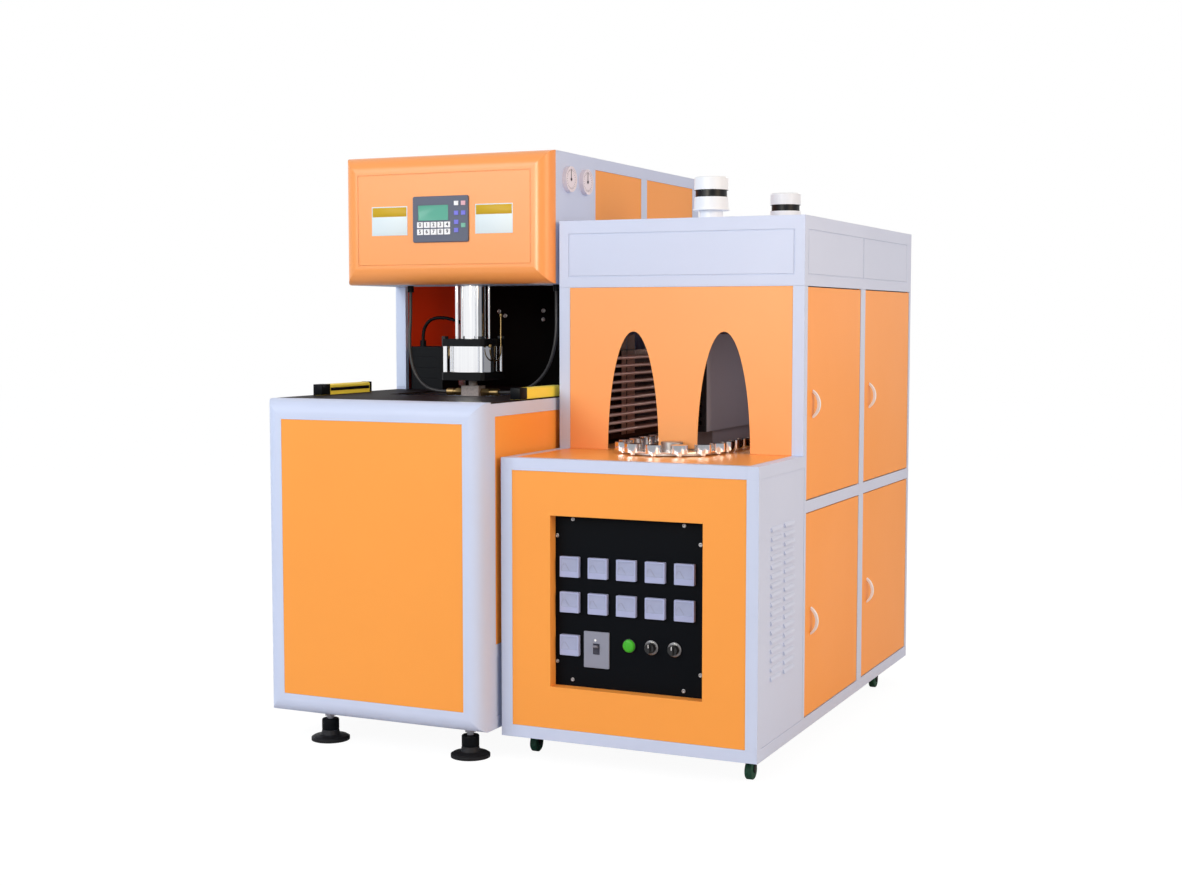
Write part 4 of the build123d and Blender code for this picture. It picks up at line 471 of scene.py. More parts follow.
paint("duct_grey", (0.27, 0.25, 0.285), rough=0.5, grain=300.0, cloud=1.5, zones=[duct_end_zone])
metal("reflector", (0.10, 0.058, 0.045), rough=0.22, stretch=(1.0, 40.0, 1.0), scale=3.0)
metal("brass", (0.24, 0.165, 0.075), rough=0.38, stretch=(60.0, 1.0, 1.0))
paint("cast_black", (0.02, 0.022, 0.026), rough=0.5, grain=240.0, depth=0.5, worn=(0.1, 0.1, 0.11))
metal("screw_steel", (0.30, 0.30, 0.32), rough=0.42)
paint("toggle_grey", (0.20, 0.20, 0.25), rough=0.35)
print(len(finishes), "finishes")

# %% [markdown]
# The knobs are a chromed ring with a black cap on top, and the tie rods end in black nuts. A metal isn't
# made dark by its colour alone: inside such a zone the Metallic socket is mixed down too.

# %% Black parts of metal pieces


def blacken(finish, *zones):
    """Turns zones of a metal finish into black plastic."""
    tree = finishes[finish].node_tree
    shader = tree.nodes["Principled BSDF"]
    tone = shader.inputs["Base Color"].links[0].from_socket
    metallic = 1.0
    for low, high, colour in zones:
        mask = place_group(tree, zone_group, Low=low, High=high).outputs["Mask"]
        tone = mix_colour(tree, mask, tone, colour)
        metallic = math_node(tree, "SUBTRACT", metallic, mask, clamp=True)
    tree.links.new(tone, shader.inputs["Base Color"])
    tree.links.new(metallic, shader.inputs["Metallic"])
    print(f"{finish}: {len(zones)} black zones")


drum_low, drum_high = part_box("air_cylinders")
axis_x = (drum_low.x + drum_high.x) / 2
NUT_REACH = 0.05
UPPER_FLANGE_TOP = 1.168
blacken("knob_case", knob_zone)
blacken(
    "tie_rod",
    box_zone(BLACK, low=(axis_x + NUT_REACH, None, UPPER_FLANGE_TOP)),
    box_zone(BLACK, low=(None, None, UPPER_FLANGE_TOP), high=(axis_x - NUT_REACH, None, None)),
)

# %% [markdown]
# Quartz lamp tubes are clear, but a renderer gains little from forty refracting walls. A thin glass look
# comes from a glossy, part-transparent surface instead: its Alpha lets the reflector show through. The
# finishes of the small pieces follow it.

# %% Glass and the finishes of small pieces


def glass(name, colour, alpha, rough=0.05):
    """Thin clear glass: a glossy skin with a tint, and most of the light passing through."""
    material, tree, shader = start_finish(name, 0.0, 0.9)
    coat = place_group(tree, coat_group, Grain_Scale=200.0, Cloud_Scale=25.0)
    tone = mix_colour(tree, coat.outputs["Cloud"], lift(colour, 1.1), lift(colour, 0.8))
    tree.links.new(tone, shader.inputs["Base Color"])
    tree.links.new(mix_value(tree, coat.outputs["Cloud"], rough, rough + 0.06), shader.inputs["Roughness"])
    tree.links.new(mix_value(tree, coat.outputs["Cloud"], alpha - 0.05, alpha + 0.05), shader.inputs["Alpha"])
    finishes[name] = material


glass("quartz", (0.85, 0.70, 0.66), 0.62)
glass("meter_glass", (0.44, 0.49, 0.72), 0.80)
paint("screen", (0.13, 0.43, 0.32), rough=0.2, grain=1200.0, depth=0.05, cloud=14.0)
KEY_COLOURS = {
    "key_white": (0.93, 0.93, 0.95),
    "key_pink": (0.80, 0.45, 0.52),
    "key_blue": (0.20, 0.20, 0.75),
    "key_green": (0.20, 0.50, 0.38),
}
for name, colour in KEY_COLOURS.items():
    paint(name, colour, rough=0.35, edge=0.0008)
paint("print_dark", (0.03, 0.03, 0.05), rough=0.5)
paint("print_grey", (0.26, 0.27, 0.36), rough=0.5)
paint("plate_amber", (0.62, 0.40, 0.02), rough=0.4)
paint("plate_pale", (0.78, 0.88, 0.92), rough=0.4)
paint("ceramic", (0.70, 0.66, 0.60), rough=0.55, grain=500.0)
paint("air_line", (0.045, 0.043, 0.045), rough=0.3, grain=300.0, cloud=40.0, edge=0.0005)
paint("valve_line", BLACK, rough=0.4, grain=300.0, cloud=40.0, edge=0.0005, shine=0.08)
paint("lamp_wire", (0.80, 0.58, 0.50), rough=0.4, grain=2000.0)
# Painted light: the wire's faint glow and pale colour stand in for the thin bright highlight lines along the
# quartz tubes.
wire_painted_glow_shader = finishes["lamp_wire"].node_tree.nodes["Principled BSDF"]
wire_painted_glow_shader.inputs["Emission Color"].default_value = (1.0, 0.62, 0.54, 1)
wire_painted_glow_shader.inputs["Emission Strength"].default_value = 0.75
paint("stay_brown", (0.62, 0.42, 0.34), rough=0.4, cloud=20.0, mottle=0.2)
paint("caps_black", BLACK, rough=0.35, grain=1500.0, shine=0.05)
print(len(finishes), "finishes with those of the small pieces")

# %% [markdown]
# Now each part of the construction model gets its finish. The table below reads as the paint shop's list.

# %% Dress the construction parts
WEARS = {
    "orange_coat": ("front_panel", "lower_side_panels", "heater_front_panel"),
    "side_coat_painted_shade": ("upper_side_panels",),
    "head_coat": ("head_cover",),
    "wall_coat": ("oven_wall",),
    "counter_coat": ("counter_top",),
    "door_coat": ("oven_door_front", "oven_door_rear", "base_door_front", "base_door_rear"),
    "pale_coat": (
        "front_bezel", "back_covers", "head_shell", "heater_frame", "oven_hood",
        "side_vent_panel", "heater_fixed_panels",
    ),
    "frame_coat_painted_light": ("blow_frame",),
    "white_coat": ("vent_stacks",),
    "deck_coat": ("table_deck",),
    "black_plate": ("control_plate",),
    "black_block": ("cylinder_flanges", "valve_box", "air_ports"),
    "toggle_grey": ("breaker_toggle",),
    "foot_coat": ("levelling_feet",),
    "case_grey": ("controller",),
    "meter_case": ("panel_meters",),
    "gauge_white": ("pressure_gauges",),
    "curtain_yellow": ("light_curtains",),
    "lamp_case": ("pilot_lamp",),
    "knob_case": ("knob_left", "knob_right"),
    "wheel_green": (
        "castor_wheel_front_left", "castor_wheel_front_right",
        "castor_wheel_rear_left", "castor_wheel_rear_right",
    ),
    "fork_black": ("castor_fork_front_left", "castor_fork_front_right", "rear_castor_forks"),
    "polished": ("air_cylinders", "holder_chain", "stretch_rod"),
    "tie_rod": ("cylinder_tie_rods",),
    "block_steel": ("nozzle_block",),
    "machined": ("clamp_frame", "moving_platen", "clamp_cylinder", "front_wheel", "drive_sprocket"),
    "duct_grey": ("centre_duct",),
    "reflector": ("lamp_reflectors",),
    "brass": ("hose_fittings",),
    "cast_black": ("gear_motor",),
    "quartz": ("lamp_tubes",),
    "air_line": ("nozzle_hose_left", "nozzle_hose_right"),
    "valve_line": ("valve_hose",),
}


def dress(piece, finish):
    """Gives a piece one finish all over."""
    piece.data.materials.clear()
    piece.data.materials.append(finishes[finish])


for finish, nodes in WEARS.items():
    for node in nodes:
        dress(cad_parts[node], finish)
undressed = set(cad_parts) - {node for nodes in WEARS.values() for node in nodes}
print("parts without a finish:", sorted(undressed))
for hose, finish in zip(hoses, ("air_line", "air_line", "valve_line")):
    dress(hose, finish)

# %% [markdown]
# Small pieces are modelled as by hand: a primitive at its size and place, shaped in edit mode, finished with
# a bevel, and then copied. These helpers hold the steps that repeat. Each selects only what it works on.

# %% Modelling helpers


def settle(piece):
    """Applies the object's place, so that it sits at the origin with its place in its mesh."""
    select_only(piece)
    bpy.ops.object.transform_apply(location=True, rotation=True, scale=True)
    return piece


def start_block(name, low, high):
    """A block between two corners."""
    select_none()
    centre = [(a + b) / 2 for a, b in zip(low, high)]
    bpy.ops.mesh.primitive_cube_add(size=1, location=centre, scale=[b - a for a, b in zip(low, high)])
    piece = bpy.context.object
    piece.name = name
    return settle(piece)


TURNS = {"x": (0, pi / 2, 0), "y": (pi / 2, 0, 0), "z": (0, 0, 0)}


def start_disc(name, centre, radius, depth, axis, sides=32):
    """A round bar about X, Y or Z, centred on a point."""
    select_none()
    bpy.ops.mesh.primitive_cylinder_add(
        vertices=sides, radius=radius, depth=depth, location=centre, rotation=TURNS[axis]
    )
    piece = bpy.context.object
    piece.name = name
    return settle(piece)


def pick_faces(piece, direction, limit=0.9):
    """In edit mode, selects only the faces that look in a direction."""
    mesh = bmesh.from_edit_mesh(piece.data)
    wanted = Vector(direction)
    for face in mesh.faces:
        face.select_set(face.normal.dot(wanted) > limit)
    mesh.select_flush_mode()
    bmesh.update_edit_mesh(piece.data)


def shape_face(piece, direction, *steps):
    """Insets the face that looks in a direction, once for each (thickness, depth)."""
    select_only(piece)
    bpy.ops.object.mode_set(mode="EDIT")
    bpy.ops.mesh.select_mode(type="FACE")
    pick_faces(piece, direction)
    for thickness, depth in steps:
        bpy.ops.mesh.inset(thickness=thickness, depth=depth)
    bpy.ops.object.mode_set(mode="OBJECT")


def round_edges(piece, width, segments=2):
    """Rounds the sharp edges and shades the rest smooth."""
    select_only(piece)
    bpy.ops.object.modifier_add(type="BEVEL")
    bevel_modifier = piece.modifiers[-1]
    bevel_modifier.width = width
    bevel_modifier.segments = segments
    bevel_modifier.limit_method = "ANGLE"
    bevel_modifier.angle_limit = SHARP
    bpy.ops.object.modifier_apply(modifier=bevel_modifier.name)
    bpy.ops.object.shade_smooth_by_angle(angle=SHARP)
    return piece


def copy_by(piece, offset):
    """A copy with its own mesh, moved by an offset."""
    select_only(piece)
    bpy.ops.object.duplicate()
    bpy.ops.transform.translate(value=offset)
    return settle(bpy.context.object)


def join(pieces, name):
    """Joins pieces into the first and names it."""
    select_none()
    for piece in pieces:
        piece.select_set(True)
    bpy.context.view_layer.objects.active = pieces[0]
    if len(pieces) > 1:
        bpy.ops.object.join()
    joined = bpy.context.view_layer.objects.active
    joined.name = name
    return joined


def repeat(piece, offsets, name):
    """The piece and its copies at each offset, as one object."""
    return join([piece] + [copy_by(piece, offset) for offset in offsets], name)


def open_mesh(piece):
    """Opens a piece in edit mode with its whole mesh selected."""
    select_only(piece)
    bpy.ops.object.mode_set(mode="EDIT")
    bpy.ops.mesh.select_all(action="SELECT")


def turn_mesh(piece, angle, axis, centre):
    """Turns a piece's mesh about X, Y or Z through a point."""
    open_mesh(piece)
    bpy.ops.transform.rotate(value=angle, orient_axis=axis, center_override=centre)
    bpy.ops.object.mode_set(mode="OBJECT")


def spin_copies(piece, centre, axis, count, angle):
    """Copies a mesh round an axis by the spin operator, as one object."""
    open_mesh(piece)
    bpy.ops.mesh.spin(steps=count, dupli=True, angle=angle, center=centre, axis=axis, use_auto_merge=False)
    bpy.ops.object.mode_set(mode="OBJECT")
    return piece


def finish_piece(piece, finish, body="machine"):
    """Dresses a finished piece and lets it ride on its body."""
    dress(piece, finish)
    settle(piece)
    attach(piece, body)
    print(f"{piece.name}: {len(piece.data.polygons)} faces")


# %% [markdown]
# The controller is an operator panel: a screen, ten number keys in two rows and seven function keys. Real
# keys are soft caps with rounded edges and a faintly dished top, so each is a block whose face is inset and
# pushed in by a hair before its edges are rounded.

# %% Controller
panel_low, panel_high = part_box("controller")
panel_face = panel_low.y + 0.0008
panel_x = (panel_low.x + panel_high.x) / 2
panel_z = (panel_low.z + panel_high.z) / 2
KEY_PROUD = 0.0018
NUMBER_PITCH = (0.0235, 0.0210)
NUMBER_SIZE = (0.0205, 0.0175)
NUMBER_CENTRE = (panel_x - 0.022, panel_z - 0.0275)
SIDE_SIZE = (0.0150, 0.0130)
SIDE_KEYS = {
    "key_white": [(0.056, 0.046)],
    "key_pink": [(0.080, 0.046)],
    "key_blue": [(0.056, 0.017), (0.080, 0.017), (0.056, -0.010), (0.056, -0.034)],
    "key_green": [(0.080, -0.020)],
}


def key_cap(name, x, z, size):
    """One soft key cap on the panel's face."""
    low = (x - size[0] / 2, panel_face - KEY_PROUD, z - size[1] / 2)
    high = (x + size[0] / 2, panel_face, z + size[1] / 2)
    cap = start_block(name, low, high)
    shape_face(cap, (0, -1, 0), (0.0022, 0.0), (0.0010, -0.0003))
    return round_edges(cap, 0.0006)


first_x = NUMBER_CENTRE[0] - 2 * NUMBER_PITCH[0]
first_z = NUMBER_CENTRE[1] + NUMBER_PITCH[1] / 2
key_steps = [(column, row) for row in range(2) for column in range(5)]
number_keys = repeat(
    key_cap("number_keys", first_x, first_z, NUMBER_SIZE),
    [(column * NUMBER_PITCH[0], 0, -row * NUMBER_PITCH[1]) for column, row in key_steps[1:]],
    "number_keys",
)
finish_piece(number_keys, "key_white")
for finish, places in SIDE_KEYS.items():
    caps = [key_cap(finish, panel_x + x, panel_z + z, SIDE_SIZE) for x, z in places]
    finish_piece(join(caps, f"side_{finish}"), finish)

# %% [markdown]
# Numbers on keys are text objects made into meshes. Text lies in its own XY plane, so it is turned to stand
# and face the front, and it becomes a mesh before its place is applied.

# %% Numbers on the keys
DIGIT_HEIGHT = 0.0115
digits = []
for number, (column, row) in enumerate(key_steps):
    select_none()
    place = (
        first_x + column * NUMBER_PITCH[0],
        panel_face - KEY_PROUD + 0.0001,
        first_z - row * NUMBER_PITCH[1] - DIGIT_HEIGHT * 0.36,
    )
    bpy.ops.object.text_add(location=place, rotation=(pi / 2, 0, 0))
    digit = bpy.context.object
    digit.data.body = str(number)
    digit.data.size = DIGIT_HEIGHT * 1.35
    digit.data.align_x = "CENTER"
    digit.data.extrude = 0.0001
    digit.data.offset = 0.0003
    bpy.ops.object.convert(target="MESH")
    digits.append(settle(bpy.context.object))
finish_piece(join(digits, "key_numbers"), "print_dark")

# %% [markdown]
# The screen is a pane in a shallow recess, with a thin dark surround between the pane and the case.

# %% Screen
screen_centre = (panel_x - 0.024, panel_z + 0.019)
SCREEN_SIZE = (0.1035, 0.0455)


def front_slab(name, centre, size, back_y, front_y):
    """An upright slab that faces the front."""
    low = (centre[0] - size[0] / 2, front_y, centre[1] - size[1] / 2)
    high = (centre[0] + size[0] / 2, back_y, centre[1] + size[1] / 2)
    return start_block(name, low, high)


pane = front_slab("screen_pane", screen_centre, SCREEN_SIZE, panel_face + 0.0008, panel_face - 0.0002)
shape_face(pane, (0, -1, 0), (0.0018, 0.0), (0.0005, -0.0003))
finish_piece(round_edges(pane, 0.0004), "screen")

# %% [markdown]
# Two plain plates stand beside the controller. Each is a thin metal plate with an amber band across its top.

# %% Plain plates
cover_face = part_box("head_cover")[0].y
PLATES = ((0.1705, 0.126), (0.5305, 0.126))
PLATE_FOOT, PLATE_HEAD = 1.483, 1.571
BAND_HEIGHT = 0.031
plates, bands = [], []
for middle, width in PLATES:
    low_x = BLOW_LEFT + middle - width / 2
    high_x = BLOW_LEFT + middle + width / 2
    plate = start_block("plate", (low_x, cover_face - 0.0008, PLATE_FOOT), (high_x, cover_face, PLATE_HEAD))
    plates.append(round_edges(plate, 0.0003))
    band = start_block(
        "band",
        (low_x + 0.003, cover_face - 0.0012, PLATE_HEAD - BAND_HEIGHT),
        (high_x - 0.003, cover_face - 0.0006, PLATE_HEAD - 0.003),
    )
    bands.append(round_edges(band, 0.0002))
finish_piece(join(plates, "plain_plates"), "plate_pale")
finish_piece(join(bands, "plate_bands"), "plate_amber")

# %% [markdown]
# The two pressure gauges on the head's right side face +X. Their tick marks are one small block that the
# spin operator copies round the dial, and the needle is a tapered blade on a hub.

# %% Pressure gauges
gauge_low, gauge_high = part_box("pressure_gauges")
GAUGE_RADIUS = 0.038
dial_x = gauge_high.x - 0.002
gauge_z = (gauge_low.z + gauge_high.z) / 2
gauge_ys = (gauge_low.y + GAUGE_RADIUS, gauge_high.y - GAUGE_RADIUS)
TICKS = 24
ticks, needles, rims = [], [], []
for gauge_y in gauge_ys:
    centre = (dial_x, gauge_y, gauge_z)
    reach = GAUGE_RADIUS * 0.80
    tick = start_block(
        "tick",
        (dial_x, gauge_y - 0.0005, gauge_z - reach),
        (dial_x + 0.0004, gauge_y + 0.0005, gauge_z - reach + 0.0055),
    )
    ticks.append(spin_copies(round_edges(tick, 0.0001, 1), centre, (1, 0, 0), TICKS, 2 * pi))
    blade = start_block(
        "blade",
        (dial_x + 0.0006, gauge_y - 0.0012, gauge_z - 0.006),
        (dial_x + 0.0012, gauge_y + 0.0012, gauge_z + reach - 0.004),
    )
    shape_face(blade, (0, 0, 1), (0.0003, 0.004))
    hub = start_disc("hub", (dial_x + 0.0010, gauge_y, gauge_z), 0.0045, 0.0016, "x", 24)
    needles.append(join([round_edges(blade, 0.0002, 1), round_edges(hub, 0.0004)], "needle"))
    select_none()
    bpy.ops.mesh.primitive_torus_add(
        location=(dial_x - 0.0002, gauge_y, gauge_z),
        rotation=TURNS["x"],
        major_radius=GAUGE_RADIUS - 0.0022,
        minor_radius=0.0021,
        major_segments=64,
        minor_segments=12,
    )
    rims.append(settle(bpy.context.object))
finish_piece(join(ticks, "gauge_ticks"), "print_dark")
finish_piece(join(needles, "gauge_needles"), "print_dark")
rim = join(rims, "gauge_rims")
select_only(rim)
bpy.ops.object.shade_smooth()
finish_piece(rim, "key_white")

# %% [markdown]
# Eleven square meters sit on the black plate. The construction model has their cases with a sunk window;
# here each window gets its pane, an arc of fine ticks and a needle that rests at the left end.

# %% Panel meters
meter_low, meter_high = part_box("panel_meters")
METER = 0.057
METER_PITCH = 0.0845
meter_face = meter_low.y
first_meter = (meter_low.x + METER / 2, meter_high.z - METER / 2)
SECOND_ROW, LAST_METER = -0.098, -0.217
meter_steps = [(column * METER_PITCH, row) for row in (0.0, SECOND_ROW) for column in range(5)]
meter_steps.append((0.0, LAST_METER))
meter_offsets = [(x, 0, z) for x, z in meter_steps[1:]]
window_centre = (first_meter[0], first_meter[1] + METER * 0.1)
card = front_slab("meter_cards", window_centre, (0.0476, 0.0362), meter_face + 0.0009, meter_face + 0.0002)
shape_face(card, (0, -1, 0), (0.0012, 0.0), (0.0005, -0.0002))
finish_piece(repeat(round_edges(card, 0.0002, 1), meter_offsets, "meter_cards"), "meter_glass")

pivot = (first_meter[0], meter_face, first_meter[1] - 0.010)
ARC_RADIUS = 0.026
tick = start_block(
    "tick",
    (pivot[0] - 0.0004, meter_face + 0.0001, pivot[2] + ARC_RADIUS - 0.003),
    (pivot[0] + 0.0004, meter_face + 0.0004, pivot[2] + ARC_RADIUS),
)
half_sweep = radians(42)
turn_mesh(tick, half_sweep, "Y", pivot)
spin_copies(tick, pivot, (0, 1, 0), 12, 2 * half_sweep)
blade = start_block(
    "blade",
    (pivot[0] - 0.0005, meter_face + 0.0001, pivot[2]),
    (pivot[0] + 0.0005, meter_face + 0.0005, pivot[2] + ARC_RADIUS - 0.004),
)
shape_face(blade, (0, 0, 1), (0.0001, 0.001))
turn_mesh(blade, half_sweep * 0.8, "Y", pivot)
scale_marks = repeat(join([tick, blade], "meter_scales"), meter_offsets, "meter_scales")
finish_piece(scale_marks, "print_grey")

# %% [markdown]
# Eight screws hold the black plate. A screw's head is a short bar with a domed edge, and its round socket
# is an inset pushed inwards.

# %% Screws


def screw(x, y, z, radius, proud):
    """A round-headed screw that faces the front."""
    head = start_disc("screw", (x, y - proud / 2, z), radius, proud, "y", 24)
    shape_face(head, (0, -1, 0), (radius * 0.55, 0.0), (radius * 0.05, -proud * 0.5))
    return round_edges(head, proud * 0.3)


PLATE_SCREWS = (
    (0.930, 0.682), (1.257, 0.681), (0.882, 0.635), (1.304, 0.632),
    (0.882, 0.285), (1.305, 0.282), (0.929, 0.237), (1.257, 0.235),
)
heads = [screw(BLOW_LEFT + x, plate_front, z, 0.0055, 0.003) for x, z in PLATE_SCREWS]
finish_piece(join(heads, "plate_screws"), "screw_steel")

# %% [markdown]
# The breaker's toggle stands in a dark frame. Above it a small white disc is a painted highlight: it stands
# in for a glint. The frame could be a ring, but the toggle hides its middle, so a slab with a sunk face is
# enough.

# %% Breaker
toggle_low, toggle_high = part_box("breaker_toggle")
toggle_x = (toggle_low.x + toggle_high.x) / 2
toggle_z = (toggle_low.z + toggle_high.z) / 2
breaker_face = plate_front - 0.005
surround = front_slab(
    "breaker_frame", (toggle_x, toggle_z), (0.0195, 0.0300), breaker_face + 0.0006, breaker_face - 0.0006
)
shape_face(surround, (0, -1, 0), (0.0022, 0.0), (0.0004, -0.0003))
finish_piece(round_edges(surround, 0.0004), "print_dark")
# Painted highlight: the white disc above the toggle stands in for a glint.
glint_place = (toggle_x - 0.003, breaker_face - 0.0004, toggle_z + 0.024)
glint_piece = start_disc("breaker_painted_glint", glint_place, 0.0034, 0.0012, "y", 20)
finish_piece(round_edges(glint_piece, 0.0004), "key_white")

# %% [markdown]
# The knobs turn with their own bodies, so each white pointer line rides on its knob. A painted line would
# need a map of the knob's face, and a thin block needs none.

# %% Knob pointers
for node, body in (("knob_left", "left_knob"), ("knob_right", "right_knob")):
    low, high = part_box(node)
    middle = (low.x + high.x) / 2
    z = (low.z + high.z) / 2
    pointer = start_block(
        f"{node}_pointer",
        (middle - 0.0009, low.y - 0.0003, z + 0.002),
        (middle + 0.0009, low.y + 0.0005, z + 0.0118),
    )
    finish_piece(round_edges(pointer, 0.0002, 1), "key_white", body)

# %% [markdown]
# Each light curtain is a yellow bar with black ends and a dark window along the side that faces the other
# bar. The ends are caps that sit just over the bar.

# %% Light curtains
curtain_low, curtain_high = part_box("light_curtains")
CURTAIN = 0.030
bars = ((curtain_low.x, curtain_low.x + CURTAIN, 1), (curtain_high.x - CURTAIN, curtain_high.x, -1))
caps, windows = [], []
for low_x, high_x, inward in bars:
    for near, far in (
        (curtain_low.y - 0.0006, curtain_low.y + 0.046),
        (curtain_high.y - 0.012, curtain_high.y + 0.0006),
    ):
        cap = start_block(
            "cap",
            (low_x - 0.0006, near, curtain_low.z - 0.0001),
            (high_x + 0.0006, far, curtain_high.z + 0.0006),
        )
        caps.append(round_edges(cap, 0.0015))
    face_x = high_x if inward > 0 else low_x
    pane_low, pane_high = sorted((face_x - inward * 0.001, face_x + inward * 0.0012))
    window = start_block(
        "window",
        (pane_low, curtain_low.y + 0.05, curtain_low.z + 0.012),
        (pane_high, curtain_high.y - 0.015, curtain_high.z - 0.011),
    )
    windows.append(round_edges(window, 0.0005))
for pieces, name in ((caps, "curtain_caps"), (windows, "curtain_windows")):
    finish_piece(join(pieces, name), "caps_black")

# %% [markdown]
# Each lamp ends in a ceramic holder, and a heating wire runs along its middle. They are the first things
# seen through the oven's left arch. The wire's faint glow is painted light: it stands in for the thin
# bright highlight lines along the quartz tubes.

# %% Lamp holders
lamp_low, lamp_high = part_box("lamp_tubes")
LAMP_RADIUS = 0.0055
LAMP_PITCH = 0.025
lamp_xs = (lamp_low.x + LAMP_RADIUS, lamp_high.x - LAMP_RADIUS)
lamp_middle = (lamp_low.y + lamp_high.y) / 2
lowest_lamp = lamp_low.z + LAMP_RADIUS
wire_length = lamp_high.y - lamp_low.y - 0.03
row_offsets = [(0, 0, row * LAMP_PITCH) for row in range(1, 10)]
holders = []
for x in lamp_xs:
    for y, outward in ((lamp_low.y, -1), (lamp_high.y, 1)):
        sleeve = start_disc("sleeve", (x, y - outward * 0.008, lowest_lamp), 0.0078, 0.022, "y", 20)
        shape_face(sleeve, (0, outward, 0), (0.003, 0.0), (0.0008, -0.003))
        holders.append(round_edges(sleeve, 0.0008))
finish_piece(repeat(join(holders, "lamp_holders"), row_offsets, "lamp_holders"), "ceramic")
wires = [start_disc("wire", (x, lamp_middle, lowest_lamp), 0.0011, wire_length, "y", 8) for x in lamp_xs]
finish_piece(repeat(join(wires, "lamp_wires"), row_offsets, "lamp_wires"), "lamp_wire")

# %% [markdown]
# Two small brass pipes bend beside the cylinder's drum. Such a U bend is the path of a circle that is spun
# half a turn, so the spin operator makes it from one ring of points.

# %% Brass bends
axis_y = (drum_low.y + drum_high.y) / 2
BESIDE_DRUM = 0.0815
PIPE = 0.0024


def brass_bend(name, x, near_y, far_y, low_z, near_top, far_top):
    """A U-shaped pipe: a near leg, a half turn towards the rear, and a far leg."""
    select_none()
    start = (x, near_y, near_top)
    bpy.ops.mesh.primitive_circle_add(vertices=16, radius=PIPE, fill_type="NOTHING", location=start)
    pipe = settle(bpy.context.object)
    open_mesh(pipe)
    bpy.ops.mesh.extrude_region_move(TRANSFORM_OT_translate={"value": (0, 0, low_z - near_top)})
    bpy.ops.mesh.spin(steps=16, angle=-pi, center=(x, (near_y + far_y) / 2, low_z), axis=(1, 0, 0))
    bpy.ops.mesh.extrude_region_move(TRANSFORM_OT_translate={"value": (0, 0, far_top - low_z)})
    bpy.ops.mesh.edge_face_add()
    bpy.ops.mesh.select_all(action="SELECT")
    bpy.ops.mesh.remove_doubles(threshold=0.00005)
    bpy.ops.mesh.normals_make_consistent(inside=False)
    bpy.ops.object.mode_set(mode="OBJECT")
    nuts = [
        round_edges(start_disc("nut", (x, y, top - 0.004), 0.0052, 0.010, "z", 6), 0.0006)
        for y, top in ((near_y, near_top), (far_y, far_top))
    ]
    return round_edges(join([pipe] + nuts, name), 0.0003, 1)


bends = [
    brass_bend("bend", axis_x + BESIDE_DRUM, axis_y - 0.040, axis_y + 0.032, 1.136, 1.150, 1.245),
    brass_bend("bend", axis_x - BESIDE_DRUM, axis_y - 0.030, axis_y - 0.006, 1.118, 1.150, 1.150),
]
finish_piece(join(bends, "brass_bends"), "brass")

# %% [markdown]
# Four screws hold the bulkhead behind the cylinders: two left of its middle and two near the middle. They
# are larger than the plate's, but of the same kind, so the same function makes them.

# %% Bulkhead screws
BULKHEAD_FACE = 0.302
BULKHEAD_SCREWS = ((-0.577, 1.256), (-0.554, 1.241), (-0.4075, 1.258), (-0.4075, 1.228))
heads = [screw(x, BULKHEAD_FACE, z, 0.0075, 0.006) for x, z in BULKHEAD_SCREWS]
finish_piece(join(heads, "bulkhead_screws"), "screw_steel")

# %% [markdown]
# A black sleeve covers the thread of each levelling foot above its boss. The stem fills its bore, so a bar
# with well rounded edges looks the same as a tube.

# %% Foot sleeves
foot_low, foot_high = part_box("levelling_feet")
PAD_RADIUS = 0.056
SLEEVE_RADIUS, SLEEVE_LENGTH, SLEEVE_MIDDLE = 0.0250, 0.033, 0.046
foot_places = [
    (x, y)
    for x in (foot_low.x + PAD_RADIUS, foot_high.x - PAD_RADIUS)
    for y in (foot_low.y + PAD_RADIUS, foot_high.y - PAD_RADIUS)
]
sleeves = [
    round_edges(start_disc("foot_sleeve", (x, y, SLEEVE_MIDDLE), SLEEVE_RADIUS, SLEEVE_LENGTH, "z"), 0.004, 3)
    for x, y in foot_places
]
finish_piece(join(sleeves, "foot_sleeves"), "caps_black")

# %% [markdown]
# Flat stays carry the lamps: thin upright strips between the reflector and the tubes, dull brown from heat.
# Sheet metal has small radii, so their edges are rounded by less than half a millimetre.

# %% Lamp stays
STAYS = ((-0.037, 0.036), (0.008, 0.058), (0.45, 0.05))
STAY_X, STAY_Z = (0.0300, 0.0312), (0.868, 1.180)
stays = [
    round_edges(start_block("stay", (STAY_X[0], y, STAY_Z[0]), (STAY_X[1], y + width, STAY_Z[1])), 0.0004, 1)
    for y, width in STAYS
]
finish_piece(join(stays, "lamp_stays"), "stay_brown")

# %% [markdown]
# Next come the stage and the light: a pale floor with a faint shadow, a white background, and soft lamps.
# The background is white only for the camera, for reflections and for what is seen through glass: the light
# that falls on the machine stays at a plain level.

# %% Stage and light
select_none()
bpy.ops.mesh.primitive_plane_add(size=40, location=(0, 0, -0.0005))
floor = bpy.context.object
floor.name = "floor"
floor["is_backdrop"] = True
floor_finish, tree, shader = start_finish("floor_finish", 0.0, 0.1)
shader.inputs["Roughness"].default_value = 0.9
shader.inputs["Base Color"].default_value = (0.72, 0.72, 0.73, 1)
path = tree.nodes.new("ShaderNodeLightPath")
glow = tree.nodes.new("ShaderNodeEmission")
glow.inputs["Strength"].default_value = 1.10
add_light = tree.nodes.new("ShaderNodeMixShader")
seen = math_node(tree, "MULTIPLY", path.outputs["Is Camera Ray"], 0.86)
tree.links.new(seen, add_light.inputs[0])
tree.links.new(shader.outputs[0], add_light.inputs[1])
tree.links.new(glow.outputs[0], add_light.inputs[2])
tree.links.new(add_light.outputs[0], tree.nodes["Material Output"].inputs["Surface"])
floor.data.materials.append(floor_finish)
print(f"the floor measures {floor.dimensions.x:.0f} by {floor.dimensions.y:.0f} m")

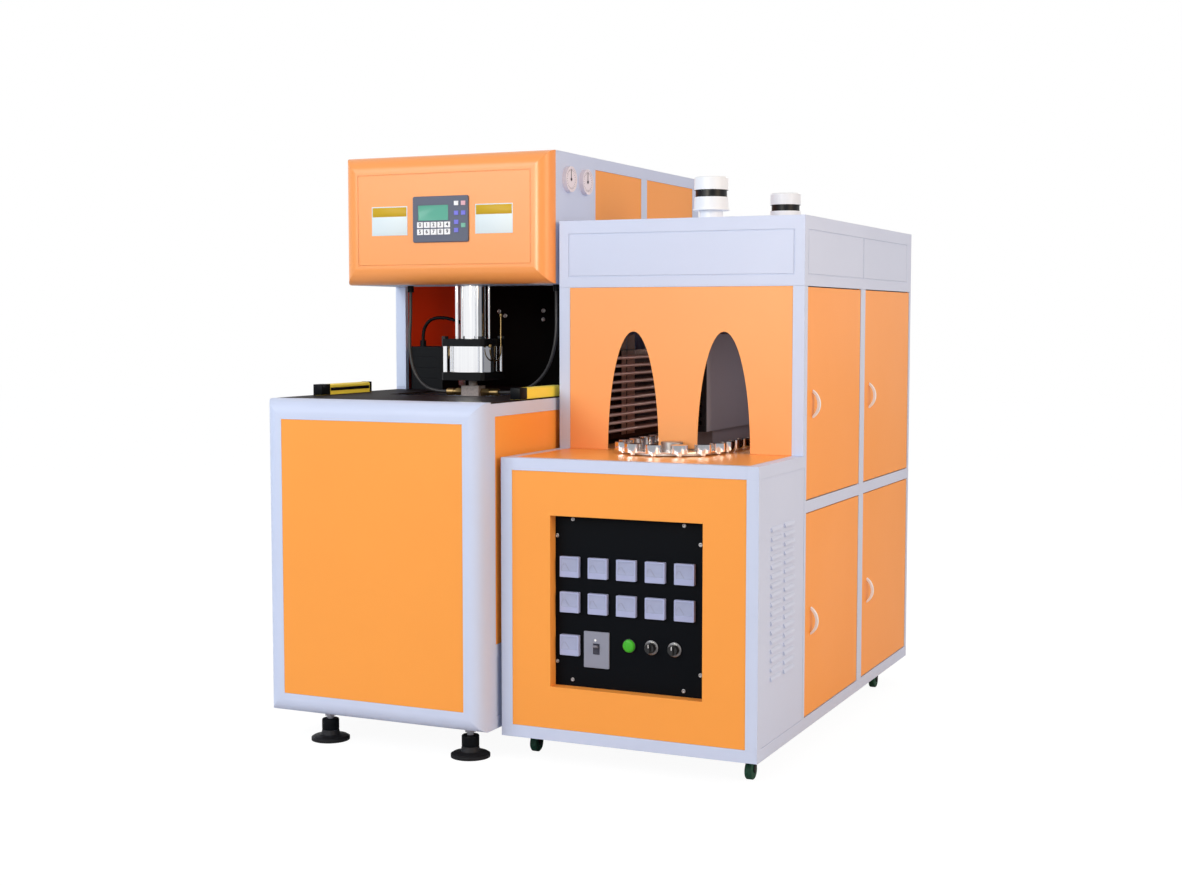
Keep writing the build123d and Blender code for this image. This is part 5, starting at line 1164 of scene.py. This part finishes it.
world = bpy.data.worlds.new("studio")
bpy.context.scene.world = world
world.use_nodes = True
tree = world.node_tree
plain = tree.nodes["Background"]
plain.inputs["Color"].default_value = (0.96, 0.97, 1.0, 1)
plain.inputs["Strength"].default_value = 0.52
white = tree.nodes.new("ShaderNodeBackground")
white.inputs["Color"].default_value = (1, 1, 1, 1)
white.inputs["Strength"].default_value = 1.0
path = tree.nodes.new("ShaderNodeLightPath")
either = math_node(tree, "MAXIMUM", path.outputs["Is Camera Ray"], path.outputs["Is Glossy Ray"])
either = math_node(tree, "MAXIMUM", either, path.outputs["Is Transmission Ray"])
blend_light = tree.nodes.new("ShaderNodeMixShader")
tree.links.new(either, blend_light.inputs[0])
tree.links.new(plain.outputs[0], blend_light.inputs[1])
tree.links.new(white.outputs[0], blend_light.inputs[2])
tree.links.new(blend_light.outputs[0], tree.nodes["World Output"].inputs["Surface"])


def soft_lamp(name, place, target, size, power, colour, height=None):
    """An area lamp that looks at a point; with a height it is a rectangle."""
    lamp = bpy.data.lights.new(name, "AREA")
    lamp.size = size
    if height:
        lamp.shape = "RECTANGLE"
        lamp.size_y = height
    lamp.energy = power
    lamp.color = colour
    holder = bpy.data.objects.new(name, lamp)
    holder.location = place
    holder.rotation_euler = (Vector(target) - Vector(place)).to_track_quat("-Z", "Y").to_euler()
    holder.visible_camera = False
    bpy.context.scene.collection.objects.link(holder)
    print(f"{name}: {power} W")
    return holder


soft_lamp("front_lamp", (-2.6, -5.2, 3.2), (0, 0, 0.9), 3.0, 168, (0.93, 0.97, 1.0))
soft_lamp("side_lamp", (5.0, -2.0, 2.6), (0, 0, 0.9), 2.6, 124, (1.0, 0.76, 0.53))
soft_lamp("rear_lamp", (-1.0, 5.5, 3.5), (0, 0, 0.9), 3.0, 110, (1.0, 0.98, 0.96))

# %% [markdown]
# Four more lamps work on one place each. A card of light in front of the head draws the pale line down its
# rounded right edge, and only reflections see it. Inside the oven one lights the duct's side, seen through
# the right arch, and a thin one at the rear end of the left tunnel draws the bright lines along the quartz
# tubes. The last warms the inner side of the left panel, behind the valve box.

# %% Local lamps
edge_strip = soft_lamp(
    "edge_strip", (-0.10, -3.4, 1.69), (-0.05, -0.40, 1.55), 0.80, 50, (1.0, 0.95, 0.80), height=0.56
)
edge_strip.visible_diffuse = False
soft_lamp("duct_glow", (0.63, -0.05, 1.04), (0.42, -0.05, 1.04), 0.5, 0.27, (1.0, 0.95, 1.0), height=0.3)
soft_lamp("tube_glow", (0.20, 0.72, 1.14), (0.15, -0.3, 1.02), 0.12, 0.06, (1.0, 0.78, 0.70), height=0.012)
soft_lamp("throat_glow", (-0.45, 0.05, 1.20), (-0.75, 0.12, 1.16), 0.12, 0.16, (1.0, 0.45, 0.25))

# %% [markdown]
# A chromed cylinder shows only what stands round it. Four upright cards beside the cylinders give it its
# dark and grey bands. Only reflections see the cards.

# %% Reflection cards
CARDS = (
    ("dark_card_right", (-0.165, -0.323), 66.7, 0.018, 0.01),
    ("grey_card_right", (-0.158, -0.215), 90.0, 0.150, 0.30),
    ("dark_card_rear", (-0.158, -0.055), 90.0, 0.160, 0.012),
    ("dark_card_left", (-0.625, -0.320), -67.3, 0.014, 0.02),
)
for name, (x, y), turn, width, brightness in CARDS:
    card = start_block(name, (x - width / 2, y - 0.0005, 1.03), (x + width / 2, y + 0.0005, 1.36))
    turn_mesh(card, -radians(turn), "Z", (x, y, 1.2))
    card_finish, tree, shader = start_finish(name, 0.0, 0.0)
    shader.inputs["Base Color"].default_value = (0, 0, 0, 1)
    shader.inputs["Emission Color"].default_value = (brightness, brightness, brightness * 1.05, 1)
    shader.inputs["Emission Strength"].default_value = 1.0
    card.data.materials.append(card_finish)
    card.visible_camera = False
    card.visible_diffuse = False
    card.visible_shadow = False
    card.visible_transmission = False
    card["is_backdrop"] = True
    print(f"{name}: {width} m wide")

# %% [markdown]
# A colour then shows about as it was written, because the view keeps a plain Standard transform.

# %% View
bpy.context.scene.view_settings.view_transform = "Standard"
print("view:", bpy.context.scene.view_settings.view_transform)

# %% [markdown]
# Last, the sizes are kept for comparison: the construction model's box, and the box of all that is shown.

# %% Sizes and finish
low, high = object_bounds()
print("all that is shown measures", [round(far - near, 4) for near, far in zip(low, high)])
